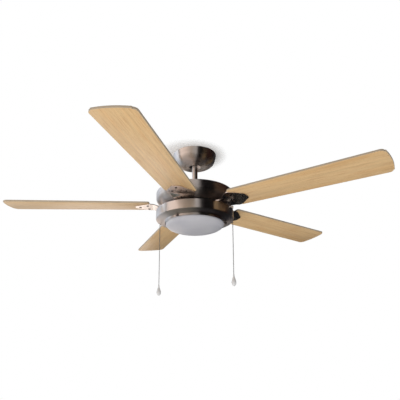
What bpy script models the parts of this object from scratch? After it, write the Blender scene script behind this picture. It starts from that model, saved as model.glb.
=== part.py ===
"""Five-blade ceiling fan with a shallow light: a design model in metres, +Z up.

The origin is the middle of the ceiling plane, where the hanger bracket's top face bears.
Everything hangs below it, on the fan's axis X = Y = 0. Directions round the axis are given
as an azimuth: 0 degrees faces -Y (the front) and positive azimuths turn towards +X.
"""

import math

import bmesh
import bpy
from mathutils import Matrix, Vector

# ---- Driving dimensions -------------------------------------------------------------------
# Overall
BLADE_COUNT = 5
FAN_RADIUS = 0.660  # axis to the middle of a blade's tip
FIRST_BLADE_AZIMUTH = -16.5
ROD_LENGTH = 0.104
ROD_RADIUS = 0.0100
ROD_WALL = 0.0020
PIN_LIFT = 0.010  # rod's lower end to the coupling pin, and from there to the socket's top

# Canopy and ceiling bracket
CANOPY_RADIUS = 0.0770
CANOPY_HEIGHT = 0.047
CANOPY_HOLE_RADIUS = 0.020
PLATE_LENGTH = 0.144
PLATE_WIDTH = 0.036
PLATE_THICKNESS = 0.0025
TAB_HEIGHT = 0.0135
TAB_WIDTH = 0.024
TAB_THICKNESS = 0.002
LEG_WIDTH = 0.018
LEG_THICKNESS = 0.003
LEG_INSET = 0.001  # how far the legs sink into the seat's ring
SEAT_SLOT_CLEARANCE = 0.0012  # each side of the rod, in the slot it is hung in through
MOUNT_HOLE_RADIUS = 0.0025
MOUNT_HOLE_PLACE = 0.045
CANOPY_SCREW_DROP = 0.0085  # ceiling to the screws that hold the canopy
CANOPY_SCREW_LENGTH = 0.0100
HEAD_STANDOFF = 0.0010  # a head's seat out from the wall's middle line
BRACKET_AZIMUTH = 50.0  # the plate's long direction; the canopy screws sit on it
BALL_RADIUS = 0.016
BALL_DROP = 0.026  # ceiling to the hanger ball's centre
SEAT_RADIUS = 0.0125  # inner radius of the ring that the ball sits in
SEAT_HEIGHT = 0.006
SEAT_WALL = 0.008

# Motor
SHAFT_RADIUS = 0.0075
SHAFT_BORE = 0.005
SOCKET_WALL = 0.0032
FLANGE_RADIUS = 0.024
FLANGE_THICKNESS = 0.0025
FLANGE_DEPTH = 0.0082  # socket's floor down to the flange that carries the housing
ROTOR_BELOW_FLANGE = 0.0055
SHAFT_BELOW_DECK = 0.0090  # threaded end of the shaft under the pan's deck
NUT_RADIUS = 0.013
NUT_HEIGHT = 0.006
NUT_SIDES = 12
ROTOR_RADIUS = 0.080
ROTOR_WALL = 0.0035
ROTOR_FLANGE_RADIUS = 0.092
ROTOR_FLANGE_THICKNESS = 0.0035
ROTOR_FLOOR = 0.0065  # thickness of the rotor's floor
ROTOR_ROOF = 0.0035
ROTOR_BOSS_RADIUS = 0.024
ROTOR_BOSS_HEIGHT = 0.0100
ROTOR_SHOULDER = 0.0165  # rotor's top down to its upright wall
BEARING_RADIUS = 0.016
BEARING_HEIGHT = 0.008
AIR_GAP = 0.0010  # between the stator core and the rotor
CORE_INNER_RADIUS = 0.030
CORE_HEIGHT = 0.023
WINDING_OVERHANG = 0.005

# Upper housing
HOUSING_RADIUS = 0.1367
HOUSING_RIM_DROP = 0.0255  # from the middle of the deck down to the upper rim
BAND_HEIGHT = 0.0192
BOWL_DEPTH = 0.0286
HOUSING_OPENING_RADIUS = 0.098
COVER_RADIUS = 0.030
COVER_GAP = 0.0007  # round the socket
COVER_BELOW_SOCKET = 0.003
COVER_SHOULDER = 0.004
COVER_WAIST = 0.85  # share of the cover's radius at its waist

# Gap that the blade irons turn in, and the light pan below it
ROTOR_BELOW_BOWL = 0.0080
PAN_BELOW_ROTOR = 0.0102
PAN_RADIUS = 0.1364
PAN_HEIGHT = 0.0332
PAN_EDGE = 0.003
COLLAR_RADIUS = 0.1052
UNDERSIDE_DROP = 0.0053
COLLAR_HEIGHT = 0.0076
COLLAR_WALL = 0.0012
GLASS_GAP = 0.0016
GLASS_WALL = 0.003
GLASS_DROP = 0.0270  # collar's lower edge to the bottom of the dome
LED_RADIUS = 0.085
LED_DROP = 0.0265  # pan's upper face to the LED plate's underside
LED_THICKNESS = 0.003
RISER_RADIUS = 0.030  # inside of the riser that the LED plate hangs on
RISER_WALL = 0.0025
GLASS_NECK = 0.0012  # the dome starts this far below the collar

# Blades and blade irons
BLADE_ROOT = 0.158  # axis to the blade's inner end
BLADE_ROOT_WIDTH = 0.110
BLADE_TIP_WIDTH = 0.124
BLADE_THICKNESS = 0.006
BLADE_PITCH = 7.5
TIP_CROWN = 0.008  # how far the tip's middle stands out past its corners
TIP_CORNER = 0.013
ROOT_CORNER = 0.010
BLADE_RISE = 0.0110  # rotor's lower face up to the blade's middle plane
IRON_THICKNESS = 0.0026
IRON_INNER = 0.066
IRON_TIP = 0.210
IRON_RISE = (0.126, 0.148)  # where an iron leaves the flat and where it meets the blade
# half-widths of an iron along its length: (distance from the axis, half-width)
IRON_OUTLINE = [
    (IRON_INNER, 0.0340),
    (0.085, 0.0390),
    (0.105, 0.0365),
    (0.125, 0.0330),
    (0.143, 0.0415),
    (0.158, 0.0470),
    (0.175, 0.0400),
    (0.192, 0.0265),
    (0.204, 0.0185),
    (IRON_TIP, 0.0090),
]
BLADE_SCREWS = [(0.193, -0.004), (0.163, -0.027), (0.165, 0.021)]
SCREW_SHANK = 0.0019
SCREW_HEAD = 0.0042
SCREW_HEAD_HEIGHT = 0.0016
SCREW_BITE = 0.0042  # how far a blade screw goes into its blade
PRESS = 1.01  # an iron's thickness square to a blade, as a share of its own

# Pull chains: name, azimuth, chain length below its nozzle, handle height
CHAIN_PLACE_RADIUS = 0.1435
CHAIN_RADIUS = 0.0016
CHAINS = [("speed", 63.0, 0.2287, 0.039), ("light", -117.0, 0.2424, 0.037)]
CHAIN_STEP = 0.008
HANDLE_RADIUS = 0.0078
NOZZLE_RADIUS = 0.0036
NOZZLE_DROP = 0.0041  # pan's upper face to the nozzle's axis
NOZZLE_MOUTH_DROP = 0.0101  # pan's upper face to the nozzle's mouth
NOZZLE_INSIDE = 0.0010  # how far a nozzle reaches in past the pan's wall
POST_SHARE = 1.06  # a nozzle's upright post, as a share of its arm
CHAIN_SLACK = 0.0006  # nozzle's axis down to the chain's upper end
HANDLE_NECK = (0.0024, 0.0027)  # radii of a handle's neck
HANDLE_NECK_SHARE = 0.10  # of the handle's height
HANDLE_BELLY_SHARE = 0.68
SWITCH_SIZE = (0.018, 0.024, 0.015)

# Thumbscrews that hold the glass, and the reversing switch
THUMB_AZIMUTHS = [-33.0, 87.0, 207.0]
THUMB_RADIUS = 0.0042
THUMB_LENGTH = 0.0060
THUMB_EDGE = 0.0010
THUMB_LIFT = 0.0006  # screw hole's edge up from the collar's lower edge
REVERSE_AZIMUTH = 190.0
REVERSE_TRAVEL = 0.005
KNOB_SIZE = (0.0035, 0.0045, 0.0055)
REVERSE_BODY = (0.010, 0.022, 0.013)

# Shared
SHEET = 0.0012
GAP = 0.0003  # between faces that touch
FIT = 0.0003  # round a pin or a screw in its hole
PIN_RADIUS = 0.0025
ROUND = 40
FLAT = math.cos(math.pi / ROUND)  # a flat's distance from the axis, as a share of the radius
SMALL_ROUND = 24
SCREW_ROUND = 8
TUBE_ROUND = 12
DRILL = 0.03  # half-length of a cutting tool

# ---- Levels, from the ceiling down ---------------------------------------------------------
BALL_Z = -BALL_DROP
ROD_TOP = BALL_Z + 0.75 * BALL_RADIUS
ROD_BOTTOM = ROD_TOP - ROD_LENGTH
COUPLING_PIN_Z = ROD_BOTTOM + PIN_LIFT
SOCKET_TOP = COUPLING_PIN_Z + PIN_LIFT
SOCKET_RADIUS = ROD_RADIUS + FIT + SOCKET_WALL
SOCKET_FLOOR = ROD_BOTTOM - GAP
FLANGE_TOP = SOCKET_FLOOR - FLANGE_DEPTH
DECK_TOP = FLANGE_TOP + GAP + SHEET
RIM_Z = DECK_TOP - HOUSING_RIM_DROP
BAND_Z = RIM_Z - BAND_HEIGHT
BOWL_Z = BAND_Z - BOWL_DEPTH
ROTOR_TOP = FLANGE_TOP - FLANGE_THICKNESS - ROTOR_BELOW_FLANGE
ROTOR_BOTTOM = BOWL_Z - ROTOR_BELOW_BOWL
ROTOR_SPLIT = (ROTOR_TOP + ROTOR_BOTTOM) / 2
CORE_Z = ROTOR_SPLIT
IRON_TOP = ROTOR_BOTTOM - GAP
BLADE_Z = ROTOR_BOTTOM + BLADE_RISE
PAN_TOP = ROTOR_BOTTOM - PAN_BELOW_ROTOR
PAN_BOTTOM = PAN_TOP - PAN_HEIGHT
ANNULUS_Z = PAN_BOTTOM - UNDERSIDE_DROP
COLLAR_Z = ANNULUS_Z - COLLAR_HEIGHT
GLASS_RADIUS = COLLAR_RADIUS - COLLAR_WALL - GLASS_GAP
GLASS_BOTTOM = COLLAR_Z - GLASS_DROP
NOZZLE_Z = PAN_TOP - NOZZLE_DROP
MOUTH_Z = PAN_TOP - NOZZLE_MOUTH_DROP
CHAIN_TOP = NOZZLE_Z - CHAIN_SLACK


# ---- Materials -----------------------------------------------------------------------------
def material(name, colour, roughness, metallic=0.0, transmission=0.0):
    mat = bpy.data.materials.new(name)
    mat.use_nodes = True
    shader = mat.node_tree.nodes["Principled BSDF"]
    shader.inputs["Base Color"].default_value = (*colour, 1.0)
    shader.inputs["Roughness"].default_value = roughness
    shader.inputs["Metallic"].default_value = metallic
    shader.inputs["Transmission Weight"].default_value = transmission
    mat.diffuse_color = (*colour, 1.0)
    return mat


FINISHES = {
    "bronze": ((0.060, 0.045, 0.038), 0.30, 1.0),
    "dark_iron": ((0.030, 0.024, 0.020), 0.40, 1.0),
    "steel": ((0.450, 0.450, 0.450), 0.35, 1.0),
    "cast": ((0.350, 0.350, 0.350), 0.50, 1.0),
    "core": ((0.110, 0.110, 0.120), 0.55, 1.0),
    "copper": ((0.480, 0.180, 0.060), 0.35, 1.0),
    "beech": ((0.560, 0.370, 0.200), 0.45, 0.0),
    "glass": ((0.860, 0.870, 0.880), 0.60, 0.0, 0.3),
    "white_plastic": ((0.800, 0.800, 0.790), 0.40, 0.0),
    "black_plastic": ((0.020, 0.020, 0.020), 0.45, 0.0),
    "chain": ((0.400, 0.400, 0.400), 0.30, 1.0),
}


# ---- Shapes --------------------------------------------------------------------------------
def direction(azimuth):
    a = math.radians(azimuth)
    return Vector((math.sin(a), -math.cos(a), 0.0))


def facing(azimuth):
    """Turns local +X outwards along the azimuth."""
    return Matrix.Rotation(math.radians(azimuth - 90.0), 4, "Z")


def lathe(profile, segments):
    """A closed section turned about Z. Points with no radius become one pole vertex each."""
    bm = bmesh.new()
    rings = []
    for radius, z in profile:
        if radius < 1e-9:
            rings.append([bm.verts.new((0.0, 0.0, z))])
            continue
        ring = []
        for i in range(segments):
            a = 2.0 * math.pi * i / segments
            ring.append(bm.verts.new((radius * math.cos(a), radius * math.sin(a), z)))
        rings.append(ring)
    for here, after in zip(rings, rings[1:] + rings[:1]):
        if len(here) == 1 and len(after) == 1:
            continue
        for i in range(segments):
            j = (i + 1) % segments
            corners = [here[i % len(here)], here[j % len(here)]]
            corners += [after[j % len(after)], after[i % len(after)]]
            bm.faces.new(list(dict.fromkeys(corners)))
    return bm


def cylinder(radius, low, high, segments):
    return lathe([(0, low), (radius, low), (radius, high), (0, high)], segments)


def ring(inner, outer, low, high, segments):
    return lathe([(inner, low), (outer, low), (outer, high), (inner, high)], segments)


def block(size, centre):
    bm = bmesh.new()
    bmesh.ops.create_cube(bm, size=1.0)
    bm.transform(Matrix.Translation(centre) @ Matrix.Diagonal((*size, 1.0)))
    return bm


def prism(outline, low, high):
    """A flat outline in X and Y pulled up from one level to another."""
    bm = bmesh.new()
    below = [bm.verts.new((x, y, low)) for x, y in outline]
    above = [bm.verts.new((x, y, high)) for x, y in outline]
    bm.faces.new(below)
    bm.faces.new(above)
    for i in range(len(outline)):
        j = (i + 1) % len(outline)
        bm.faces.new((below[i], below[j], above[j], above[i]))
    return bm


def arc(cx, cy, radius, start, end, steps):
    """Points on an arc, angles in degrees."""
    points = []
    for i in range(steps + 1):
        a = math.radians(start + (end - start) * i / steps)
        points.append((cx + radius * math.cos(a), cy + radius * math.sin(a)))
    return points


def moved(bm, matrix):
    bm.transform(matrix)
    return bm


def along_x(bm, at=(0.0, 0.0, 0.0)):
    """Lays a Z-turned shape along +X and moves it."""
    return moved(bm, Matrix.Translation(at) @ Matrix.Rotation(math.radians(90.0), 4, "Y"))


def new_object(name, bm):
    bmesh.ops.recalc_face_normals(bm, faces=bm.faces)
    mesh = bpy.data.meshes.new(name)
    bm.to_mesh(mesh)
    bm.free()
    mesh.shade_smooth()
    mesh.set_sharp_from_angle(angle=math.radians(35.0))
    obj = bpy.data.objects.new(name, mesh)
    bpy.context.scene.collection.objects.link(obj)
    return obj


def combine(obj, bm, operation):
    """Joins a shape to the object or cuts it away, and applies the result."""
    tool = new_object(obj.name + "_tool", bm)
    step = obj.modifiers.new("combine", "BOOLEAN")
    step.operation = operation
    step.object = tool
    graph = bpy.context.evaluated_depsgraph_get()
    result = bpy.data.meshes.new_from_object(obj.evaluated_get(graph))
    obj.modifiers.remove(step)
    spent = obj.data
    obj.data = result
    bpy.data.meshes.remove(spent)
    bpy.data.objects.remove(tool)


def join(obj, bm):
    combine(obj, bm, "UNION")


def cut(obj, bm):
    combine(obj, bm, "DIFFERENCE")


class Assembly:
    """Keeps the joint empties and hangs each finished piece on one of them."""

    def __init__(self):
        self.axes = {}
        self.finishes = {key: material(key, *value) for key, value in FINISHES.items()}

    def axis(self, name, at, parent=None):
        empty = bpy.data.objects.new(name, None)
        empty.empty_display_size = 0.02
        bpy.context.scene.collection.objects.link(empty)
        start = self.axes[parent][1] if parent else Vector()
        empty.parent = self.axes[parent][0] if parent else None
        empty.location = Vector(at) - start
        self.axes[name] = (empty, Vector(at))

    def place(self, obj, axis, finish):
        """The mesh is in the row frame; it moves under its axis without changing place."""
        empty, at = self.axes[axis]
        obj.data.transform(Matrix.Translation(-at))
        obj.parent = empty
        mat = self.finishes[finish].copy()
        mat.name = obj.name
        obj.data.materials.clear()
        obj.data.materials.append(mat)
        return obj


# ---- Ceiling mount ---------------------------------------------------------------------------
def canopy_curve():
    """Outer profile of the canopy bowl, from the ceiling to the hole round the rod."""
    drop = CANOPY_HEIGHT
    points = [(CANOPY_RADIUS, -0.0005), (CANOPY_RADIUS * 0.986, -0.19 * drop)]
    # the lower part follows a quarter of a rounded oval down to the flat bottom
    waist, floor = CANOPY_RADIUS * 0.955, 0.45 * CANOPY_RADIUS
    start = -0.36 * drop
    for i in range(6):
        a = math.radians(90.0 * i / 5.0)
        z = start + (-drop + 0.0015 - start) * math.sin(a) ** 1.15
        points.append((floor + (waist - floor) * math.cos(a) ** 0.9, z))
    points.append((CANOPY_HOLE_RADIUS, -drop))
    return points


def inset_profile(points, wall):
    """The same open profile moved inwards by the wall, square to each stretch."""
    inner = []
    for i, (r, z) in enumerate(points):
        before = points[max(i - 1, 0)]
        after = points[min(i + 1, len(points) - 1)]
        run = Vector((after[0] - before[0], after[1] - before[1])).normalized()
        inner.append((r + run.y * wall, z - run.x * wall))
    return inner


def build_ceiling_mount(parts):
    turn = facing(BRACKET_AZIMUTH)
    half = PLATE_LENGTH / 2
    plate = block((PLATE_LENGTH, PLATE_WIDTH, PLATE_THICKNESS), (0, 0, -PLATE_THICKNESS / 2))
    bracket = new_object("hanger_bracket", moved(plate, turn))
    tab_middle = half - TAB_THICKNESS / 2
    for side in (-1, 1):
        tab = block((TAB_THICKNESS, TAB_WIDTH, TAB_HEIGHT), (side * tab_middle, 0, -TAB_HEIGHT / 2))
        join(bracket, moved(tab, turn))
    seat_z = BALL_Z - math.sqrt((BALL_RADIUS + GAP) ** 2 - SEAT_RADIUS**2)
    seat_low, seat_high = seat_z - SEAT_HEIGHT / 3, seat_z + SEAT_HEIGHT * 2 / 3
    seat_outer = SEAT_RADIUS + SEAT_WALL
    join(bracket, moved(cylinder(seat_outer, seat_low, seat_high, SMALL_ROUND), turn))
    leg_height = -seat_low
    for side in (-1, 1):
        leg_middle = (side * (seat_outer - LEG_INSET), 0, -leg_height / 2)
        leg = block((LEG_THICKNESS, LEG_WIDTH, leg_height), leg_middle)
        join(bracket, moved(leg, turn))
    cut(bracket, cylinder(SEAT_RADIUS, seat_low - 0.01, seat_high + 0.01, SMALL_ROUND))
    ball = bmesh.new()
    bmesh.ops.create_uvsphere(
        ball, u_segments=SMALL_ROUND, v_segments=12, radius=BALL_RADIUS + GAP
    )
    cut(bracket, moved(ball, Matrix.Translation((0, 0, BALL_Z))))
    slot_width = 2 * (ROD_RADIUS + SEAT_SLOT_CLEARANCE)
    slot = block((slot_width, 0.04, 4 * SEAT_HEIGHT), (0, 0.02, seat_z))
    cut(bracket, moved(slot, turn))
    for side in (-1, 1):
        hole = cylinder(MOUNT_HOLE_RADIUS, -0.01, 0.01, TUBE_ROUND)
        hole_at = Matrix.Translation((side * MOUNT_HOLE_PLACE, 0, 0))
        cut(bracket, moved(hole, turn @ hole_at))
    screw_z = -CANOPY_SCREW_DROP
    for side in (-1, 1):
        hole = along_x(cylinder(SCREW_SHANK + FIT, -0.01, 0.01, SCREW_ROUND))
        cut(bracket, moved(hole, turn @ Matrix.Translation((side * tab_middle, 0, screw_z))))
    parts.place(bracket, "ceiling_mount", "steel")

    outer = canopy_curve()
    canopy = new_object("canopy", lathe(outer + inset_profile(outer, SHEET)[::-1], ROUND))
    screw_radius = CANOPY_RADIUS * 0.988
    for number, side in enumerate((1, -1), 1):
        here = turn @ Matrix.Translation((side * screw_radius, 0, screw_z))
        inwards = here if side < 0 else here @ Matrix.Rotation(math.pi, 4, "Z")
        hole = along_x(cylinder(SCREW_SHANK + FIT, -0.006, 0.006, SCREW_ROUND))
        cut(canopy, moved(hole, here.copy()))
        head = -HEAD_STANDOFF
        screw = lathe(
            [
                (0, head - SCREW_HEAD_HEIGHT),
                (SCREW_HEAD * 0.75, head - SCREW_HEAD_HEIGHT),
                (SCREW_HEAD, head - SCREW_HEAD_HEIGHT / 2),
                (SCREW_HEAD, head),
                (SCREW_SHANK, head),
                (SCREW_SHANK, CANOPY_SCREW_LENGTH),
                (0, CANOPY_SCREW_LENGTH),
            ],
            SCREW_ROUND,
        )
        piece = new_object(f"canopy_screw_{number}", moved(along_x(screw), inwards))
        parts.place(piece, "ceiling_mount", "dark_iron")
    parts.place(canopy, "ceiling_mount", "bronze")


# ---- Downrod and its fastenings ---------------------------------------------------------------
def build_downrod(parts):
    ball = bmesh.new()
    bmesh.ops.create_uvsphere(ball, u_segments=SMALL_ROUND, v_segments=12, radius=BALL_RADIUS)
    ball_obj = new_object("hanger_ball", moved(ball, Matrix.Translation((0, 0, BALL_Z))))
    cut(ball_obj, cylinder(ROD_RADIUS + FIT, BALL_Z - DRILL, BALL_Z + DRILL, SMALL_ROUND))
    rod = new_object(
        "downrod", ring(ROD_RADIUS - ROD_WALL, ROD_RADIUS, ROD_BOTTOM, ROD_TOP, SMALL_ROUND)
    )
    pin_half = BALL_RADIUS * 0.95
    for z in (BALL_Z, COUPLING_PIN_Z):
        hole = along_x(cylinder(PIN_RADIUS + FIT, -DRILL, DRILL, SCREW_ROUND), (0, 0, z))
        cut(rod, hole)
    hole = along_x(cylinder(PIN_RADIUS + FIT, -DRILL, DRILL, SCREW_ROUND), (0, 0, BALL_Z))
    cut(ball_obj, hole)
    parts.place(ball_obj, "swing_axis", "black_plastic")
    parts.place(rod, "swing_axis", "bronze")
    pin = along_x(cylinder(PIN_RADIUS, -pin_half, pin_half, SCREW_ROUND), (0, 0, BALL_Z))
    parts.place(new_object("hanger_pin", pin), "swing_axis", "steel")
    half = SOCKET_RADIUS - 0.0004
    pin = along_x(cylinder(PIN_RADIUS, -half, half, SCREW_ROUND), (0, 0, COUPLING_PIN_Z))
    parts.place(new_object("coupling_pin", pin), "swing_axis", "steel")


def build_shaft(parts):
    bore = ROD_RADIUS + FIT
    flange_bottom = FLANGE_TOP - FLANGE_THICKNESS
    end = PAN_TOP - SHEET - SHAFT_BELOW_DECK
    profile = [
        (bore, SOCKET_TOP),
        (SOCKET_RADIUS, SOCKET_TOP),
        (SOCKET_RADIUS, FLANGE_TOP),
        (FLANGE_RADIUS, FLANGE_TOP),
        (FLANGE_RADIUS, flange_bottom),
        (SHAFT_RADIUS, flange_bottom),
        (SHAFT_RADIUS, end),
        (SHAFT_BORE, end),
        (SHAFT_BORE, SOCKET_FLOOR),
        (bore, SOCKET_FLOOR),
    ]
    shaft = new_object("motor_shaft", lathe(profile, SMALL_ROUND))
    at = (0, 0, COUPLING_PIN_Z)
    cut(shaft, along_x(cylinder(PIN_RADIUS + FIT, -DRILL, DRILL, SCREW_ROUND), at))
    parts.place(shaft, "swing_axis", "steel")
    top = PAN_TOP - SHEET - GAP
    ring_nut = ring(SHAFT_RADIUS + FIT, NUT_RADIUS, top - NUT_HEIGHT, top, NUT_SIDES)
    nut = new_object("shaft_nut", ring_nut)
    parts.place(nut, "swing_axis", "steel")


def build_cover(parts):
    low = DECK_TOP + GAP
    high = SOCKET_TOP - COVER_BELOW_SOCKET
    inner = SOCKET_RADIUS + COVER_GAP
    waist, foot = COVER_RADIUS * COVER_WAIST, COVER_RADIUS - SHEET
    profile = [
        (inner, high),
        (inner + SHEET, high),
        (inner + COVER_SHOULDER, high - COVER_SHOULDER),
        (waist, low + 5 * SHEET),
        (COVER_RADIUS, low + 0.002),
        (COVER_RADIUS, low),
        (foot, low),
        (foot, low + 0.0015),
        (waist - SHEET, low + 0.0052),
        (inner + COVER_SHOULDER - SHEET, high - COVER_SHOULDER - SHEET / 3),
        (inner, high - SHEET - SHEET / 6),
    ]
    cover = new_object("coupling_cover", lathe(profile, SMALL_ROUND))
    parts.place(cover, "swing_axis", "bronze")


# ---- Upper housing and motor -------------------------------------------------------------------
def housing_curve():
    """Outer profile: deck, rim, band and the bowl under it, from the middle outwards."""
    hole = SOCKET_RADIUS + FIT
    rim = HOUSING_RADIUS
    points = [(hole, DECK_TOP), (FLANGE_RADIUS, DECK_TOP)]
    points.append((rim * 0.72, DECK_TOP - HOUSING_RIM_DROP * 0.55))
    points.append((rim - 0.008, RIM_Z + 0.0042))
    points.append((rim - 0.002, RIM_Z + 0.0012))
    points.append((rim, RIM_Z - 0.0012))
    points.append((rim, BAND_Z))
    steps = 5
    for i in range(1, steps + 1):
        a = math.radians(90.0 * i / steps)
        r = HOUSING_OPENING_RADIUS + (rim - HOUSING_OPENING_RADIUS) * math.cos(a)
        points.append((r, BAND_Z - BOWL_DEPTH * math.sin(a)))
    return points


def build_housing(parts):
    outer = housing_curve()
    profile = outer + inset_profile(outer, SHEET)[::-1]
    housing = new_object("upper_housing", lathe(profile, ROUND))
    parts.place(housing, "swing_axis", "bronze")


def build_motor(parts):
    bore = BEARING_RADIUS + FIT
    wall = ROTOR_RADIUS - ROTOR_WALL
    split = ROTOR_SPLIT
    top = ROTOR_TOP
    boss = ROTOR_BOSS_RADIUS
    upper = [
        (bore, top),
        (boss, top),
        (boss + 0.002, top - 0.0045),
        (0.066, top - 0.0065),
        (ROTOR_RADIUS, top - ROTOR_SHOULDER),
        (ROTOR_RADIUS, split + GAP),
        (wall, split + GAP),
        (wall, top - ROTOR_SHOULDER - 0.0015),
        (0.064, top - 0.0065 - ROTOR_ROOF),
        (bore, top - ROTOR_BOSS_HEIGHT),
    ]
    low = ROTOR_BOTTOM
    lower = [
        (bore, low),
        (ROTOR_FLANGE_RADIUS, low),
        (ROTOR_FLANGE_RADIUS, low + ROTOR_FLANGE_THICKNESS),
        (ROTOR_RADIUS, low + 0.0075),
        (ROTOR_RADIUS, split),
        (wall, split),
        (wall, low + ROTOR_FLOOR),
        (boss, low + ROTOR_FLOOR),
        (boss, low + ROTOR_BOSS_HEIGHT),
        (bore, low + ROTOR_BOSS_HEIGHT),
    ]
    for name, profile in (("rotor_shell_upper", upper), ("rotor_shell_lower", lower)):
        parts.place(new_object(name, lathe(profile, SMALL_ROUND + 8)), "spin_axis", "cast")
    inner = SHAFT_RADIUS + FIT
    for name, z in (("bearing_upper", top - 0.0010 - BEARING_HEIGHT), ("bearing_lower", low + 0.0010)):
        race = ring(inner, BEARING_RADIUS, z, z + BEARING_HEIGHT, SMALL_ROUND)
        parts.place(new_object(name, race), "spin_axis", "steel")
    core_outer = wall - AIR_GAP
    half = CORE_HEIGHT / 2
    core = ring(CORE_INNER_RADIUS, core_outer, CORE_Z - half, CORE_Z + half, SMALL_ROUND + 8)
    parts.place(new_object("stator_core", core), "swing_axis", "core")
    half += WINDING_OVERHANG
    coil = ring(inner, CORE_INNER_RADIUS - GAP, CORE_Z - half, CORE_Z + half, SMALL_ROUND + 8)
    parts.place(new_object("stator_windings", coil), "swing_axis", "copper")


# ---- Blades and blade irons ------------------------------------------------------------------
def blade_frame(azimuth):
    """Local X runs out along the blade, local Z is square to its tilted middle plane."""
    tilt = Matrix.Rotation(math.radians(-BLADE_PITCH), 4, "X")
    return facing(azimuth) @ Matrix.Translation((0, 0, BLADE_Z)) @ tilt


def blade_outline():
    root, tip = BLADE_ROOT_WIDTH / 2, BLADE_TIP_WIDTH / 2
    end = FAN_RADIUS - TIP_CROWN
    crown_radius = (tip**2 + TIP_CROWN**2) / (2 * TIP_CROWN)
    spread = math.degrees(math.asin((tip - TIP_CORNER * 0.8) / crown_radius))
    points = arc(BLADE_ROOT + ROOT_CORNER, -root + ROOT_CORNER, ROOT_CORNER, 180, 270, 4)
    points += arc(end - TIP_CORNER, -tip + TIP_CORNER, TIP_CORNER, 270, 345, 4)
    points += arc(FAN_RADIUS - crown_radius, 0.0, crown_radius, -spread, spread, 6)
    points += arc(end - TIP_CORNER, tip - TIP_CORNER, TIP_CORNER, 15, 90, 4)
    points += arc(BLADE_ROOT + ROOT_CORNER, root - ROOT_CORNER, ROOT_CORNER, 90, 180, 4)
    return points


def iron_half_width(u):
    """A smooth curve through the outline's points (Catmull-Rom)."""
    points = IRON_OUTLINE
    last = len(points) - 1
    i = max(k for k in range(last) if points[k][0] <= u + 1e-9)
    (u0, w0), (u1, w1) = points[i], points[i + 1]
    before, after = points[max(i - 1, 0)], points[min(i + 2, last)]
    start = (w1 - before[1]) / (u1 - before[0])
    end = (after[1] - w0) / (after[0] - u0)
    t, span = (u - u0) / (u1 - u0), u1 - u0
    hermite = (2 * t**3 - 3 * t**2 + 1) * w0 + (t**3 - 2 * t**2 + t) * span * start
    return hermite + (3 * t**2 - 2 * t**3) * w1 + (t**3 - t**2) * span * end


def iron_level(u, w):
    """Height of an iron's upper face: flat under the rotor, then up to the blade's underside."""
    tilt = math.radians(BLADE_PITCH)
    blade_face = BLADE_Z - (BLADE_THICKNESS / 2 + GAP) / math.cos(tilt) - w * math.tan(tilt)
    start, end = IRON_RISE
    t = min(max((u - start) / (end - start), 0.0), 1.0)
    t = t * t * (3 - 2 * t)
    return IRON_TOP + (blade_face - IRON_TOP) * t


def iron_mesh():
    stations = [IRON_INNER, 0.075, 0.085, 0.100, 0.115, 0.126, 0.132, 0.137, 0.142, 0.148]
    stations += [0.153, 0.158, 0.166, 0.175, 0.184, 0.192, 0.199, 0.205, IRON_TIP]
    bm = bmesh.new()
    rows = []
    for u in stations:
        half = iron_half_width(u)
        row = []
        for w, drop in ((-half, 0), (half, 0), (half, IRON_THICKNESS), (-half, IRON_THICKNESS)):
            row.append(bm.verts.new((u, w, iron_level(u, w) - drop)))
        rows.append(row)
    for here, after in zip(rows, rows[1:]):
        for i in range(4):
            j = (i + 1) % 4
            bm.faces.new((here[i], here[j], after[j], after[i]))
    bm.faces.new(rows[0])
    bm.faces.new(rows[-1])
    return bm


def screw_mesh():
    """A blade screw in the blade's frame, head under the iron."""
    seat = -BLADE_THICKNESS / 2 - 2 * GAP - IRON_THICKNESS * PRESS
    tip = -BLADE_THICKNESS / 2 + SCREW_BITE
    return lathe(
        [
            (0, seat - SCREW_HEAD_HEIGHT),
            (SCREW_HEAD * 0.7, seat - SCREW_HEAD_HEIGHT),
            (SCREW_HEAD, seat - SCREW_HEAD_HEIGHT * 0.4),
            (SCREW_HEAD, seat),
            (SCREW_SHANK, seat),
            (SCREW_SHANK, tip),
            (0, tip),
        ],
        SCREW_ROUND,
    )


def build_blades(parts):
    blade_low, blade_high = -BLADE_THICKNESS / 2, BLADE_THICKNESS / 2
    hole_top = blade_low + SCREW_BITE + FIT
    for number in range(1, BLADE_COUNT + 1):
        azimuth = FIRST_BLADE_AZIMUTH + 360.0 / BLADE_COUNT * (number - 1)
        frame = blade_frame(azimuth)
        blade = new_object(
            f"blade_{number}", moved(prism(blade_outline(), blade_low, blade_high), frame)
        )
        iron = new_object(f"blade_iron_{number}", moved(iron_mesh(), facing(azimuth)))
        for letter, (u, w) in zip("abc", BLADE_SCREWS):
            here = frame @ Matrix.Translation((u, w, 0))
            hole = cylinder(SCREW_SHANK + FIT, -0.02, hole_top, SCREW_ROUND)
            cut(blade, moved(hole, here))
            hole = cylinder(SCREW_SHANK + FIT, -0.02, 0.0, SCREW_ROUND)
            cut(iron, moved(hole, here))
            screw = new_object(f"blade_screw_{number}{letter}", moved(screw_mesh(), here))
            parts.place(screw, "spin_axis", "dark_iron")
        parts.place(blade, "spin_axis", "beech")
        parts.place(iron, "spin_axis", "dark_iron")


# ---- Light pan ---------------------------------------------------------------------------------
def pan_curve():
    """Outer profile: upper deck, wall, underside and the collar round the glass."""
    r, e = PAN_RADIUS, PAN_EDGE
    points = [(SHAFT_RADIUS + FIT, PAN_TOP)]
    points += arc(r - e, PAN_TOP - e, e, 90, 0, 3)
    points += arc(r - e, PAN_BOTTOM + e, e, 0, -70, 3)
    points.append((COLLAR_RADIUS + 0.0015, ANNULUS_Z + 0.0004))
    points.append((COLLAR_RADIUS, ANNULUS_Z - 0.0008))
    points.append((COLLAR_RADIUS, COLLAR_Z))
    return points


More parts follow.
